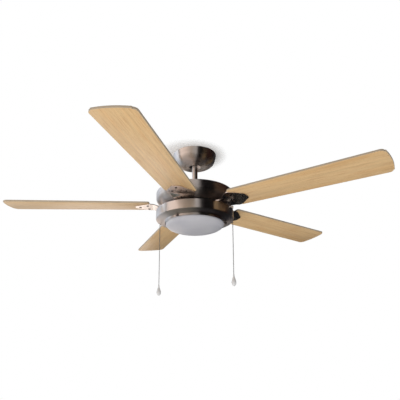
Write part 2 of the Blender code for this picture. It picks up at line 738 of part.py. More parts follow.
def build_pan(parts):
    outer = pan_curve()
    pan = new_object("light_pan", lathe(outer + inset_profile(outer, SHEET)[::-1], ROUND))
    for _name, azimuth, _length, _height in CHAINS:
        hole = along_x(cylinder(NOZZLE_RADIUS + FIT, -0.006, 0.006, TUBE_ROUND))
        cut(pan, moved(hole, facing(azimuth) @ Matrix.Translation((PAN_RADIUS, 0, NOZZLE_Z))))
    thumb_z = COLLAR_Z + SCREW_SHANK + FIT + THUMB_LIFT
    for azimuth in THUMB_AZIMUTHS:
        hole = along_x(cylinder(SCREW_SHANK + FIT, -0.004, 0.004, SCREW_ROUND))
        cut(pan, moved(hole, facing(azimuth) @ Matrix.Translation((COLLAR_RADIUS, 0, thumb_z))))
    slot_long = KNOB_SIZE[1] + REVERSE_TRAVEL + 2 * FIT
    slot = block((0.012, slot_long, KNOB_SIZE[2] + 2 * FIT), (PAN_RADIUS, 0, reverse_level()))
    cut(pan, moved(slot, facing(REVERSE_AZIMUTH)))
    parts.place(pan, "swing_axis", "bronze")
    for number, azimuth in enumerate(THUMB_AZIMUTHS, 1):
        build_thumbscrew(parts, number, azimuth, thumb_z)


def build_thumbscrew(parts, number, azimuth, z):
    tip = GLASS_RADIUS + GAP
    shoulder = COLLAR_RADIUS + HEAD_STANDOFF
    profile = [
        (0, tip),
        (SCREW_SHANK, tip),
        (SCREW_SHANK, shoulder),
        (THUMB_RADIUS * 0.8, shoulder),
        (THUMB_RADIUS, shoulder + THUMB_EDGE),
        (THUMB_RADIUS, shoulder + THUMB_LENGTH - THUMB_EDGE),
        (THUMB_RADIUS * 0.8, shoulder + THUMB_LENGTH),
        (0, shoulder + THUMB_LENGTH),
    ]
    screw = along_x(lathe(profile, TUBE_ROUND), (0, 0, z))
    piece = new_object(f"thumbscrew_{number}", moved(screw, facing(azimuth)))
    parts.place(piece, "swing_axis", "dark_iron")


def build_glass(parts):
    """A neck inside the collar and a shallow dome that closes it below."""
    r = GLASS_RADIUS
    neck_top = ANNULUS_Z + 0.0006
    knee = COLLAR_Z - GLASS_NECK
    outer = [(r, neck_top), (r, knee)]
    steps = 6
    for i in range(1, steps + 1):
        a = math.radians(90.0 * i / steps)
        outer.append((r * math.cos(a) ** 0.72, knee - (knee - GLASS_BOTTOM) * math.sin(a) ** 1.1))
    outer[-1] = (0.0, GLASS_BOTTOM)
    outer.insert(len(outer) - 1, (r * 0.22, GLASS_BOTTOM + 0.0006))
    inner = [(max(x - GLASS_WALL, 0.0), y + GLASS_WALL * min(1.0, 1.2 - x / r)) for x, y in outer]
    inner[0] = (r - GLASS_WALL, neck_top)
    inner[-1] = (0.0, GLASS_BOTTOM + GLASS_WALL)
    glass = new_object("glass_shade", lathe(outer + inner[::-1], ROUND))
    parts.place(glass, "swing_axis", "glass")


def build_led(parts):
    """The LED plate hangs from the pan's deck on a round riser."""
    deck = PAN_TOP - SHEET - GAP
    low = PAN_TOP - LED_DROP
    riser_out = RISER_RADIUS + RISER_WALL
    profile = [
        (RISER_RADIUS, deck),
        (riser_out, deck),
        (riser_out, low + LED_THICKNESS),
        (LED_RADIUS, low + LED_THICKNESS),
        (LED_RADIUS, low),
        (RISER_RADIUS, low),
    ]
    plate = new_object("led_module", lathe(profile, SMALL_ROUND + 8))
    parts.place(plate, "swing_axis", "white_plastic")


# ---- Switches and pull chains -------------------------------------------------------------------
def build_nozzle(parts, name, azimuth):
    """An elbow: in through the pan's wall, out and down. The chain slides in its bore."""
    turn = facing(azimuth)
    r = NOZZLE_RADIUS
    start = PAN_RADIUS - SHEET - NOZZLE_INSIDE
    out = CHAIN_PLACE_RADIUS
    wide = r * POST_SHARE
    post = [(0, MOUTH_Z), (wide, MOUTH_Z), (wide, NOZZLE_Z)]
    post += arc(0, NOZZLE_Z, wide, 30, 60, 1)
    post.append((0, NOZZLE_Z + wide))
    at = turn @ Matrix.Translation((out, 0, 0))
    nozzle = new_object(f"{name}_nozzle", moved(lathe(post, TUBE_ROUND), at))
    arm = along_x(cylinder(r, start, out - r / 2, TUBE_ROUND), (0, 0, NOZZLE_Z))
    join(nozzle, moved(arm, turn))
    bore = cylinder(CHAIN_RADIUS + 2 * FIT, MOUTH_Z - 0.01, CHAIN_TOP + GAP, TUBE_ROUND)
    cut(nozzle, moved(bore, at))
    parts.place(nozzle, "swing_axis", "chain")


def build_switch(parts, name, azimuth):
    deep, wide, tall = SWITCH_SIZE
    outer_face = (PAN_RADIUS - SHEET) * FLAT - NOZZLE_INSIDE - GAP
    body = block(SWITCH_SIZE, (outer_face - deep / 2, 0, PAN_TOP - SHEET - GAP - tall / 2))
    # the wall curves away from a flat face, so the body steps back by the bow
    back = outer_face - math.sqrt(outer_face**2 - (wide / 2) ** 2)
    body.transform(Matrix.Translation((-back, 0, 0)))
    piece = new_object(f"{name}_switch", moved(body, facing(azimuth)))
    parts.place(piece, "swing_axis", "black_plastic")


def chain_tube(name, place, top, bottom):
    count = math.ceil((top - bottom) / CHAIN_STEP)
    curve = bpy.data.curves.new(name, "CURVE")
    curve.dimensions = "3D"
    curve.bevel_depth = CHAIN_RADIUS
    curve.bevel_resolution = 2
    curve.use_fill_caps = True
    spline = curve.splines.new("POLY")
    spline.points.add(count)
    for i, point in enumerate(spline.points):
        point.co = (place.x, place.y, top + (bottom - top) * i / count, 1.0)
    obj = bpy.data.objects.new(name, curve)
    bpy.context.scene.collection.objects.link(obj)
    return obj


def handle_profile(top, height):
    """A pear: a thin neck at the top that swells to a round bottom."""
    tip, neck = HANDLE_NECK
    neck_z = top - HANDLE_NECK_SHARE * height
    belly_z = top - HANDLE_BELLY_SHARE * height
    points = [(0, top), (tip, top), (neck, neck_z)]
    for i in range(1, 4):
        t = i / 4
        swell = t * t * (3 - 2 * t)
        points.append((neck + (HANDLE_RADIUS - neck) * swell, neck_z + (belly_z - neck_z) * t))
    drop = (1 - HANDLE_BELLY_SHARE) * height
    for i in range(5):
        a = math.radians(90.0 * i / 5)
        points.append((HANDLE_RADIUS * math.cos(a), belly_z - drop * math.sin(a)))
    points.append((0, top - height))
    return points


def build_chains(parts):
    for name, azimuth, length, handle_height in CHAINS:
        build_switch(parts, name, azimuth)
        build_nozzle(parts, name, azimuth)
        place = direction(azimuth) * CHAIN_PLACE_RADIUS
        axis = f"{name}_chain_axis"
        parts.axis(axis, (place.x, place.y, CHAIN_TOP), "swing_axis")
        bottom = MOUTH_Z - length
        parts.place(chain_tube(f"{name}_chain", place, CHAIN_TOP, bottom), axis, "chain")
        pear = lathe(handle_profile(bottom - GAP, handle_height), 16)
        knob = new_object(f"{name}_handle", moved(pear, Matrix.Translation(place)))
        parts.place(knob, axis, "white_plastic")


def reverse_level():
    return PAN_TOP - PAN_HEIGHT / 2


def build_reversing_switch(parts):
    deep, wide, tall = REVERSE_BODY
    inner_face = (PAN_RADIUS - SHEET) * FLAT
    face = math.sqrt(inner_face**2 - (wide / 2) ** 2) - GAP
    z = reverse_level()
    turn = facing(REVERSE_AZIMUTH)
    body = new_object("reverse_switch", moved(block(REVERSE_BODY, (face - deep / 2, 0, z)), turn))
    parts.place(body, "swing_axis", "black_plastic")
    stem_start = face + GAP
    stem_end = PAN_RADIUS + KNOB_SIZE[0]
    length = stem_end - stem_start
    middle = ((stem_start + stem_end) / 2, -REVERSE_TRAVEL / 2, z)
    knob_block = block((length, KNOB_SIZE[1], KNOB_SIZE[2]), middle)
    knob = new_object("reverse_knob", moved(knob_block, turn))
    at = turn @ Vector(middle)
    parts.axis("reverse_axis", at, "swing_axis")
    parts.place(knob, "reverse_axis", "black_plastic")


def main():
    for old in list(bpy.data.objects):
        bpy.data.objects.remove(old)
    parts = Assembly()
    parts.axis("ceiling_mount", (0, 0, 0))
    parts.axis("swing_axis", (0, 0, BALL_Z), "ceiling_mount")
    parts.axis("spin_axis", (0, 0, ROTOR_BOTTOM), "swing_axis")
    build_ceiling_mount(parts)
    build_downrod(parts)
    build_shaft(parts)
    build_cover(parts)
    build_housing(parts)
    build_motor(parts)
    build_blades(parts)
    build_pan(parts)
    build_glass(parts)
    build_led(parts)
    build_chains(parts)
    build_reversing_switch(parts)


main()
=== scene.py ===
"""Looks of a five-blade ceiling fan with a shallow light, one operator for each group of pieces.

The row frame: metres, +Z up, origin on the ceiling plane on the fan's axis. An azimuth is turned
about that axis: 0 degrees faces -Y, the front, and positive azimuths turn towards +X.
"""

import functools
import math

import bmesh
import bpy
from bpy.props import FloatProperty, FloatVectorProperty, IntProperty, PointerProperty
from mathutils import Matrix, Vector


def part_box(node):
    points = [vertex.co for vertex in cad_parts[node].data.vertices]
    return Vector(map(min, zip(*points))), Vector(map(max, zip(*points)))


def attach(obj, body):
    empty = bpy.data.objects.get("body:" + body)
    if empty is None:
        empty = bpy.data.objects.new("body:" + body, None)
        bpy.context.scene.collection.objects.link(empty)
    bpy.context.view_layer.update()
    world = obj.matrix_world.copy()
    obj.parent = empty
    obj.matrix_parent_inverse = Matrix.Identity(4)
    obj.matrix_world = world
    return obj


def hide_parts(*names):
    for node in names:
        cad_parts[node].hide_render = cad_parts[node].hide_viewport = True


bl_info = {
    "name": "Ceiling Fan Looks",
    "version": (1, 0, 0),
    "blender": (4, 5, 0),
    "location": "View3D > Sidebar > Ceiling Fan",
    "description": "Builds the finished pieces and materials of a ceiling fan round its frame",
    "category": "Object",
}

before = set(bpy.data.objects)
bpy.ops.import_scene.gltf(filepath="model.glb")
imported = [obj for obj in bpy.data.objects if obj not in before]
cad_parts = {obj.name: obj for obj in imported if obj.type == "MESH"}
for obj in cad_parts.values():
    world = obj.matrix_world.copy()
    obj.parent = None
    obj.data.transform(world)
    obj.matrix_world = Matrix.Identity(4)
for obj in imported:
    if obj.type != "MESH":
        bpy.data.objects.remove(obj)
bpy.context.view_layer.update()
TURNS = 160  # sides of a large turned piece
SEAT_GAP = 0.0003  # the hairline between faces that touch
BODY = "hanging_motor"  # the body that carries rod, housing, pan, shade and nozzles


# ---- Sizes read from the frame -------------------------------------------------------------
@functools.cache
def box_of(name):
    """Corners of a CAD piece at rest, read once."""
    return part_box(name)


def radius_of(name):
    low, high = box_of(name)
    return max(high.x, -low.x)


def top_of(name):
    return box_of(name)[1].z


def bottom_of(name):
    return box_of(name)[0].z


def middle_of(name):
    low, high = box_of(name)
    return (low + high) / 2


def outwards_of(name):
    """Level direction from the axis through a piece's middle."""
    middle = middle_of(name)
    return Vector((middle.x, middle.y, 0.0)).normalized()


# ---- Settings a user would change -------------------------------------------------------------
class FanSizes(bpy.types.PropertyGroup):
    """Sizes of the turned shells, the blades and the pull chains"""

    sheet: FloatProperty(
        name="Sheet", description="Wall of the spun metal shells", default=0.0012, unit="LENGTH"
    )
    canopy_height: FloatProperty(
        name="Canopy height",
        description="Ceiling to the canopy's lower face",
        default=-bottom_of("canopy"),
        unit="LENGTH",
    )
    canopy_hole: FloatProperty(
        name="Canopy hole", description="Radius round the rod", default=0.020, unit="LENGTH"
    )
    rim_drop: FloatProperty(
        name="Rim drop", description="Deck down to the housing's rim", default=0.0255, unit="LENGTH"
    )
    band_height: FloatProperty(
        name="Band height", description="Upright band of the housing", default=0.0192, unit="LENGTH"
    )
    opening: FloatProperty(
        name="Housing opening", description="Radius of the bowl's mouth", default=0.098, unit="LENGTH"
    )
    pan_height: FloatProperty(
        name="Pan height", description="Upright wall of the light pan", default=0.0332, unit="LENGTH"
    )
    pan_edge: FloatProperty(
        name="Pan edge", description="Rounding of the pan's edges", default=0.003, unit="LENGTH"
    )
    collar: FloatProperty(
        name="Collar radius", description="Ring round the glass", default=0.1052, unit="LENGTH"
    )
    collar_height: FloatProperty(
        name="Collar height", description="Upright edge of that ring", default=0.0076, unit="LENGTH"
    )
    glass_wall: FloatProperty(
        name="Glass wall", description="Thickness of the shade", default=0.003, unit="LENGTH"
    )
    blade_root: FloatProperty(
        name="Blade root", description="Axis to a blade's inner end", default=0.158, unit="LENGTH"
    )
    blade_tip: FloatProperty(
        name="Blade tip", description="Axis to a blade's tip", default=0.660, unit="LENGTH"
    )
    root_width: FloatProperty(
        name="Root width", description="Blade width at its root", default=0.110, unit="LENGTH"
    )
    tip_width: FloatProperty(
        name="Tip width", description="Blade width at its tip", default=0.124, unit="LENGTH"
    )
    blade_thickness: FloatProperty(
        name="Blade thickness", description="Veneered board", default=0.006, unit="LENGTH"
    )
    blade_pitch: FloatProperty(
        name="Blade pitch",
        description="Tilt of each blade about its own length",
        default=math.radians(7.5),
        subtype="ANGLE",
    )
    blade_rise: FloatProperty(
        name="Blade rise",
        description="Rotor's lower face up to the blades' middle plane",
        default=0.011,
        unit="LENGTH",
    )
    first_blade: FloatProperty(
        name="First blade",
        description="Azimuth of the blade nearest the front",
        default=math.radians(-16.5),
        subtype="ANGLE",
    )
    iron_thickness: FloatProperty(
        name="Iron thickness", description="Pressed sheet", default=0.0026, unit="LENGTH"
    )
    knob: FloatVectorProperty(
        name="Reversing knob",
        description="Its width and its height",
        size=2,
        default=(0.0045, 0.0055),
        unit="LENGTH",
    )
    knob_travel: FloatProperty(
        name="Knob travel", description="Slide of the reversing knob", default=0.005, unit="LENGTH"
    )
    blade_count: IntProperty(name="Blades", description="Blades round the axis", default=5)
    bead: FloatProperty(
        name="Bead", description="Diameter of a chain's beads", default=0.0032, unit="LENGTH"
    )
    bead_pitch: FloatProperty(
        name="Bead pitch", description="Distance from bead to bead", default=0.0038, unit="LENGTH"
    )


class FanColours(bpy.types.PropertyGroup):
    """Main colours, as sRGB"""

    metal: FloatVectorProperty(
        name="Antique nickel",
        description="Spun and brushed shells",
        subtype="COLOR_GAMMA",
        default=(0.8323, 0.8048, 0.7858),
    )
    wood: FloatVectorProperty(
        name="Beech",
        description="Veneer of the blades",
        subtype="COLOR_GAMMA",
        default=(0.9212, 0.7779, 0.5721),
    )


def sizes():
    return bpy.context.scene.fan_sizes


def colours():
    return bpy.context.scene.fan_colours


# ---- Colour and nodes ----------------------------------------------------------------------
def linear(colour):
    """sRGB, as a hex string or three shares of one, to linear RGBA."""
    if isinstance(colour, str):
        colour = [int(colour[i : i + 2], 16) / 255 for i in (1, 3, 5)]
    parts = [c / 12.92 if c <= 0.04045 else ((c + 0.055) / 1.055) ** 2.4 for c in colour]
    return (*parts, 1.0)


def shade(colour, factor):
    """A linear colour made darker or lighter."""
    return (*(min(1.0, c * factor) for c in colour[:3]), 1.0)


def node(tree, kind, links=None, values=None, to=None, stops=(), **settings):
    """Adds a node. links and values go by socket name or number, and a node given as a link
    stands for its first output. to is the socket that the new node feeds, stops are a colour
    ramp's places and linear colours, and settings are the node's own fields."""
    made = tree.nodes.new(kind)
    for field, value in settings.items():
        setattr(made, field, value)
    for key, value in (values or {}).items():
        made.inputs[key].default_value = value
    for key, source in (links or {}).items():
        tree.links.new(getattr(source, "outputs", [source])[0], made.inputs[key])
    if to:
        tree.links.new(made.outputs[0], to)
    if stops:
        band = made.color_ramp.elements
        while len(band) < len(stops):
            band.new(0.5)
        for element, (place, colour) in zip(band, stops):
            element.position = place
            element.color = (*colour[:3], 1.0)
    return made


def new_material(name, colour, roughness, metallic=0.0):
    """A material with one Principled shader; constants sit on its own sockets."""
    mat = bpy.data.materials.new(name)
    mat.use_nodes = True
    shader = mat.node_tree.nodes["Principled BSDF"]
    shader.inputs["Base Color"].default_value = linear(colour)
    shader.inputs["Roughness"].default_value = roughness
    shader.inputs["Metallic"].default_value = metallic
    return mat, mat.node_tree, shader


def marks(tree, per_metre, detail=2.0, roughness=0.5, space="Object"):
    """Soft random marks, so many to the metre along each axis."""
    place = node(tree, "ShaderNodeTexCoord").outputs[space]
    stretched = node(tree, "ShaderNodeVectorMath", {0: place}, {1: per_metre}, operation="MULTIPLY")
    look = {"Scale": 1.0, "Detail": detail, "Roughness": roughness}
    return node(tree, "ShaderNodeTexNoise", {"Vector": stretched}, look)


def vary(tree, shader, pattern, dark, light, rough_low, rough_high):
    """Runs a pattern between two linear colours and two roughnesses."""
    low, high = 0.25, 0.75
    stops = [(low, dark), (high, light)]
    node(tree, "ShaderNodeValToRGB", {"Fac": pattern}, to=shader.inputs["Base Color"], stops=stops)
    spread = {"From Min": low, "From Max": high, "To Min": rough_low, "To Max": rough_high}
    node(tree, "ShaderNodeMapRange", {"Value": pattern}, spread, to=shader.inputs["Roughness"])


# ---- Materials: each starts from the real finish ---------------------------------------------
def brushed_nickel():
    """Antique nickel plate, spun and brushed round the axis under a clear lacquer.

    The brushing draws fine lines round the axis and smears reflections along the height.
    The real lines are about 0.1 mm apart; 0.7 mm is the finest that shows.
    """
    metal = linear(colours().metal)
    name = "antique nickel brushed round the axis"
    mat, tree, shader = new_material(name, colours().metal, 0.36, 1.0)
    shader.inputs["Anisotropic"].default_value = 0.97
    shader.inputs["Anisotropic Rotation"].default_value = 0.25
    node(tree, "ShaderNodeTangent", direction_type="RADIAL", axis="Z", to=shader.inputs["Tangent"])
    place = node(tree, "ShaderNodeTexCoord").outputs["Object"]
    flat = node(tree, "ShaderNodeVectorMath", {0: place}, {1: (1.0, 1.0, 0.0)}, operation="MULTIPLY")
    radius = node(tree, "ShaderNodeVectorMath", {0: flat}, operation="LENGTH").outputs["Value"]
    around = node(tree, "ShaderNodeVectorMath", {0: flat}, operation="NORMALIZE")
    way = node(tree, "ShaderNodeSeparateXYZ", {0: around})
    height = node(tree, "ShaderNodeSeparateXYZ", {0: place}).outputs["Z"]
    line, along = 1.0 / 0.0007, 5.0
    across = node(tree, "ShaderNodeCombineXYZ", {0: radius, 1: height, 2: way.outputs["X"]})
    scale = {1: (line, line, along)}
    across = node(tree, "ShaderNodeVectorMath", {0: across}, scale, operation="MULTIPLY")
    fourth = node(tree, "ShaderNodeMath", {0: way.outputs["Y"]}, {1: along}, operation="MULTIPLY")
    lines = node(
        tree,
        "ShaderNodeTexNoise",
        {"Vector": across, "W": fourth},
        {"Scale": 1.0, "Detail": 3.0, "Roughness": 0.6},
        noise_dimensions="4D",
    )
    vary(tree, shader, lines, shade(metal, 0.90), shade(metal, 1.06), 0.33, 0.42)
    relief = {"Strength": 0.10, "Distance": 0.00004}
    node(tree, "ShaderNodeBump", {"Height": lines}, relief, to=shader.inputs["Normal"])
    return mat


def pressed_nickel():
    """The same plate on pressed sheet: satin, with soft hand marks and no turning lines. Its colour is
    the plate's made 1.22 times lighter: painted light for the irons' brighter shine.
    """
    # the plate's own colour made lighter as painted light, not a different plate
    metal = shade(linear(colours().metal), 1.22)
    mat, tree, shader = new_material("antique nickel on pressed sheet", colours().metal, 0.25, 1.0)
    soft = marks(tree, (38.0, 38.0, 38.0))
    vary(tree, shader, soft, shade(metal, 0.94), shade(metal, 1.04), 0.22, 0.29)
    return mat


def beech():
    """Beech veneer, sealed satin: straight fine grain along the blade with short darker flecks.

    UV runs along and across each blade in metres. Growth bands come about every 9 mm, the
    pores are 0.3 mm wide and 8 mm long, drawn 0.6 mm wide so that they show.
    """
    wood = linear(colours().wood)
    mat, tree, shader = new_material("beech veneer satin lacquered", colours().wood, 0.42)
    shader.inputs["Coat Weight"].default_value = 0.25
    shader.inputs["Coat Roughness"].default_value = 0.30
    bands = marks(tree, (3.5, 110.0, 1.0), 3.0, 0.55, "UV")
    streaks = marks(tree, (14.0, 520.0, 1.0), 3.0, 0.6, "UV")
    pores = marks(tree, (125.0, 1700.0, 1.0), 2.0, 0.5, "UV")
    broad = marks(tree, (1.6, 22.0, 1.0), 2.0, 0.5, "UV")
    stops = [(0.28, shade(wood, 0.86)), (0.50, wood), (0.72, shade(wood, 1.07))]
    tone = node(tree, "ShaderNodeValToRGB", {"Fac": bands}, stops=stops).outputs["Color"]
    # each layer's colour, its pattern, where it starts and is full, and its strength
    for colour, pattern, start, full, strength in (
        ("#b87338", streaks, 0.50, 0.74, 0.62),
        ("#e6ab63", broad, 0.52, 0.75, 0.35),
        ("#9e6b42", pores, 0.58, 0.72, 0.55),
    ):
        span = {"From Min": start, "From Max": full, "To Max": strength}
        weight = node(tree, "ShaderNodeMapRange", {"Value": pattern}, span)
        laid = node(tree, "ShaderNodeMix", {0: weight, 6: tone}, {7: linear(colour)}, data_type="RGBA")
        tone = laid.outputs[2]
    tree.links.new(tone, shader.inputs["Base Color"])
    spread = {"To Min": 0.36, "To Max": 0.52}
    node(tree, "ShaderNodeMapRange", {"Value": streaks}, spread, to=shader.inputs["Roughness"])
    relief = {"Strength": 0.10, "Distance": 0.00006}
    node(tree, "ShaderNodeBump", {"Height": pores}, relief, to=shader.inputs["Normal"])
    return mat


def edge_band():
    """Edge band of the blades: thin printed tape, a greyer brown than the veneer."""
    mat, tree, shader = new_material("printed edge band", "#c6b298", 0.5)
    print_lines = marks(tree, (30.0, 900.0, 1.0), 3.0, space="UV")
    vary(tree, shader, print_lines, linear("#b8a58c"), linear("#d2bfa5"), 0.42, 0.58)
    return mat


def frosted_glass():
    """Opal glass, sandblasted outside: milky, with a soft wide shine and no clear view inside."""
    mat, tree, shader = new_material("opal glass sandblasted", "#d0ced4", 0.42)
    shader.inputs["Subsurface Weight"].default_value = 0.35
    shader.inputs["Subsurface Radius"].default_value = (0.01, 0.01, 0.01)
    shader.inputs["Subsurface Scale"].default_value = 1.0
    shader.inputs["Coat Weight"].default_value = 0.15
    shader.inputs["Coat Roughness"].default_value = 0.25
    cloud = marks(tree, (16.0, 16.0, 16.0))
    vary(tree, shader, cloud, linear("#cac9d1"), linear("#d6d4d8"), 0.38, 0.48)
    grit = marks(tree, (1400.0, 1400.0, 1400.0))
    relief = {"Strength": 0.12, "Distance": 0.00005}
    node(tree, "ShaderNodeBump", {"Height": grit}, relief, to=shader.inputs["Normal"])
    return mat


def metal_with(name, colour, roughness, scale, pattern=None, strength=0.05, depth=0.00005):
    """A plain or plated metal, faintly clouded, with the clouding or another pattern as its relief."""
    mat, tree, shader = new_material(name, colour, roughness, 1.0)
    cloud = marks(tree, (scale, scale, scale), 3.0)
    base = linear(colour)
    vary(tree, shader, cloud, shade(base, 0.88), shade(base, 1.06), roughness * 0.8, roughness * 1.3)
    height = pattern(tree) if pattern else cloud
    relief = {"Strength": strength, "Distance": depth}
    node(tree, "ShaderNodeBump", {"Height": height}, relief, to=shader.inputs["Normal"])
    return mat


def layers(tree, pitch):
    """Even ridges stacked along the axis."""
    place = node(tree, "ShaderNodeTexCoord").outputs["Object"]
    height = node(tree, "ShaderNodeSeparateXYZ", {0: place}).outputs["Z"]
    turns = node(tree, "ShaderNodeMath", {0: height}, {1: 2 * math.pi / pitch}, operation="MULTIPLY")
    return node(tree, "ShaderNodeMath", {0: turns}, operation="SINE")


def cast_aluminium():
    """Die-cast aluminium: dull, with the fine pitting of the mould."""

    def pits(tree):
        place = node(tree, "ShaderNodeTexCoord").outputs["Object"]
        return node(tree, "ShaderNodeTexVoronoi", {"Vector": place}, {"Scale": 700.0})

    return metal_with("die-cast aluminium", "#cdcdcc", 0.50, 90.0, pits, 0.25, 0.0002)


def laminations():
    """Electrical steel laminations: 0.5 mm sheets, drawn every 1 mm so that they show."""
    sheets = functools.partial(layers, pitch=0.001)
    return metal_with("electrical steel laminations", "#a0a0a5", 0.50, 60.0, sheets, 0.5, 0.0001)


def copper_wire():
    """Enamelled copper wire, 0.6 mm, wound side by side and drawn every 1.2 mm."""
    turns = functools.partial(layers, pitch=0.0012)
    return metal_with("enamelled copper wire", "#d4a577", 0.32, 50.0, turns, 0.8, 0.0002)


def moulded(name, colour, roughness, coat):
    """Moulded plastic: even colour with slight flow marks and a fine skin texture."""
    mat, tree, shader = new_material(name, colour, roughness)
    shader.inputs["Coat Weight"].default_value = coat
    shader.inputs["Coat Roughness"].default_value = 0.12
    flow = marks(tree, (70.0, 70.0, 25.0), 3.0)
    base = linear(colour)
    vary(tree, shader, flow, shade(base, 0.95), shade(base, 1.03), roughness * 0.9, roughness * 1.15)
    skin = marks(tree, (1500.0, 1500.0, 1500.0), 1.0)
    relief = {"Strength": 0.05, "Distance": 0.00003}
    node(tree, "ShaderNodeBump", {"Height": skin}, relief, to=shader.inputs["Normal"])
    return mat


MAKERS = {
    "brushed": brushed_nickel,
    "pressed": pressed_nickel,
    "beech": beech,
    "edge": edge_band,
    "glass": frosted_glass,
    "cast": cast_aluminium,
    "core": laminations,
    "copper": copper_wire,
    # zinc on steel: bluish grey with a soft spangle
    "zinc": lambda: metal_with("zinc plated steel", "#d5d7d8", 0.36, 140.0),
    # blackened screws: dark, half shiny
    "screw": lambda: metal_with("blackened steel screw", "#847d79", 0.34, 300.0),
    # nickel on brass beads: bright grey
    "nickel": lambda: metal_with("nickel plated brass", "#949291", 0.34, 260.0),
    # bright nickel on the turned nozzles: a real smoother plate, but its colour, far lighter than the
    # beads' nickel, is a painted highlight
    "bright": lambda: metal_with("bright nickel plate", "#ebeae8", 0.16, 200.0),
    "white": lambda: moulded("white urea plastic", "#efeeed", 0.30, 0.5),
    "black": lambda: moulded("black moulded nylon", "#5f5d5d", 0.45, 0.0),
}


def finish(key):
    """The material of that key, made the first time it is asked for."""
    scene = bpy.context.scene
    known = dict(scene.get("fan_finishes", {}))
    if known.get(key, "") not in bpy.data.materials:
        known[key] = MAKERS[key]().name
        scene["fan_finishes"] = known
    return bpy.data.materials[known[key]]


# ---- Mesh tools --------------------------------------------------------------------------------
def facing(azimuth):
    """Turns local +X outwards along the azimuth."""
    return Matrix.Rotation(azimuth - math.pi / 2, 4, "Z")


def join(bm, here, after):
    """Faces between two rings of vertices, either of which may be one pole vertex."""
    turns = max(len(here), len(after))
    made = []
    for i in range(turns if turns > 1 else 0):
        j = (i + 1) % turns
        corners = [here[i % len(here)], here[j % len(here)]]
        corners += [after[j % len(after)], after[i % len(after)]]
        made.append(bm.faces.new(list(dict.fromkeys(corners))))
    return made


def lathe(profile, turns):
    """A closed section turned about Z; a point with no radius is one pole vertex."""
    bm = bmesh.new()
    rings = []
    for radius, z in profile:
        steps = [2.0 * math.pi * i / turns for i in range(turns if radius > 0.0 else 1)]
        rings.append([bm.verts.new((radius * math.cos(a), radius * math.sin(a), z)) for a in steps])
    for here, after in zip(rings, rings[1:] + rings[:1]):
        join(bm, here, after)
    return bm


def arc(cx, cy, radius, start, end, steps):
    """Points on an arc, angles in degrees."""
    points = []
    for i in range(steps + 1):
        a = math.radians(start + (end - start) * i / steps)
        points.append((cx + radius * math.cos(a), cy + radius * math.sin(a)))
    return points


def rounded(points, radius, steps=4):
    """An open profile with each inner corner turned into a small arc (a quadratic curve)."""
    done = [points[0]]
    for before, corner, after in zip(points, points[1:], points[2:]):
        b, c, a = Vector(before), Vector(corner), Vector(after)
        cut = min(radius, (b - c).length * 0.45, (a - c).length * 0.45)
        start = c + (b - c).normalized() * cut
        end = c + (a - c).normalized() * cut
        for i in range(steps + 1):
            t = i / steps
            done.append(tuple(start * (1 - t) ** 2 + c * 2 * t * (1 - t) + end * t**2))
    return done + [points[-1]]


def walled(outer, wall):
    """Closes an open profile into a sheet of the given wall."""
    inner = []
    for i, point in enumerate(outer):
        before = Vector(outer[max(i - 1, 0)])
        after = Vector(outer[min(i + 1, len(outer) - 1)])
        run = (after - before).normalized()
        inner.append((point[0] + run.y * wall, point[1] - run.x * wall))
    return outer + inner[::-1]


def smooth(value, start, end):
    """Runs from 0 at start to 1 at end without a corner."""
    t = min(max((value - start) / (end - start), 0.0), 1.0)
    return t * t * (3 - 2 * t)


def mesh_of(name, bm, closed=True):
    """Turns a bmesh into a mesh and frees it; a closed shape gets its normals pointed outwards."""
    mesh = bpy.data.meshes.new(name)
    if closed:
        bmesh.ops.recalc_face_normals(bm, faces=bm.faces)
    bm.to_mesh(mesh)
    bm.free()
    return mesh


def piece(name, bm, body, material, replaced, sharp=35.0):
    """Makes a piece of one finish from a bmesh and ties it to its body."""
    return settle(mesh_of(name, bm), body, replaced, material, sharp)


def spun(name, profile, replaced, body=BODY, turns=TURNS):
    """A turned shell of brushed antique nickel."""
    return piece(name, lathe(profile, turns), body, finish("brushed"), [replaced])


def settle(mesh, body, replaced, material=None, sharp=35.0):
    """Makes the object of a mesh and ties it to its body; sharp is its crease angle in degrees."""
    obj = bpy.data.objects.new(mesh.name, mesh)
    bpy.context.scene.collection.objects.link(obj)
    mesh.shade_smooth()
    mesh.set_sharp_from_angle(angle=math.radians(sharp))
    if material:
        mesh.materials.clear()
        mesh.materials.append(material)
    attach(obj, body)
    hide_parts(*replaced)
    return obj


def moved(bm, matrix):
    bm.transform(matrix)
    return bm


def cut(obj, bm):
    """Cuts a closed shape out of a finished piece."""
    mesh = mesh_of("cutter", bm)
    tool = bpy.data.objects.new("cutter", mesh)
    bpy.context.scene.collection.objects.link(tool)
    step = obj.modifiers.new("cut", "BOOLEAN")
    step.operation = "DIFFERENCE"
    step.object = tool
    graph = bpy.context.evaluated_depsgraph_get()
    result = bpy.data.meshes.new_from_object(obj.evaluated_get(graph))
    obj.modifiers.remove(step)
    spent = obj.data
    obj.data = result
    bpy.data.meshes.remove(spent)
    bpy.data.objects.remove(tool)
    bpy.data.meshes.remove(mesh)


# a small pan-head screw: radius and height of its head, radius of its shank
SCREW_HEAD, SCREW_CROWN, SCREW_SHANK = 0.0042, 0.0016, 0.0018


def screw_bm(length):
    """A pan-head screw standing on z = 0, head up, with a cross recess."""
    head, height = SCREW_HEAD, SCREW_CROWN
    profile = [(0.0, -length), (SCREW_SHANK, -length), (SCREW_SHANK, 0.0), (head, 0.0)]
    profile += [(head * x, height * (0.15 + 0.85 * y)) for x, y in arc(0.0, 0.0, 1.0, 10, 78, 5)]
    profile.append((0.0, height))
    bm = lathe(profile, 20)
    recess, middle, bar, depth = head * 0.62, head * 0.14, 0.35, height * 0.5
    for vert in bm.verts:
        x, y, z = vert.co
        out = math.hypot(x, y)
        if z > height * 0.3 and out < recess:
            if out < middle or abs(math.sin(2 * math.atan2(y, x))) < bar:
                vert.co.z -= depth
    return bm


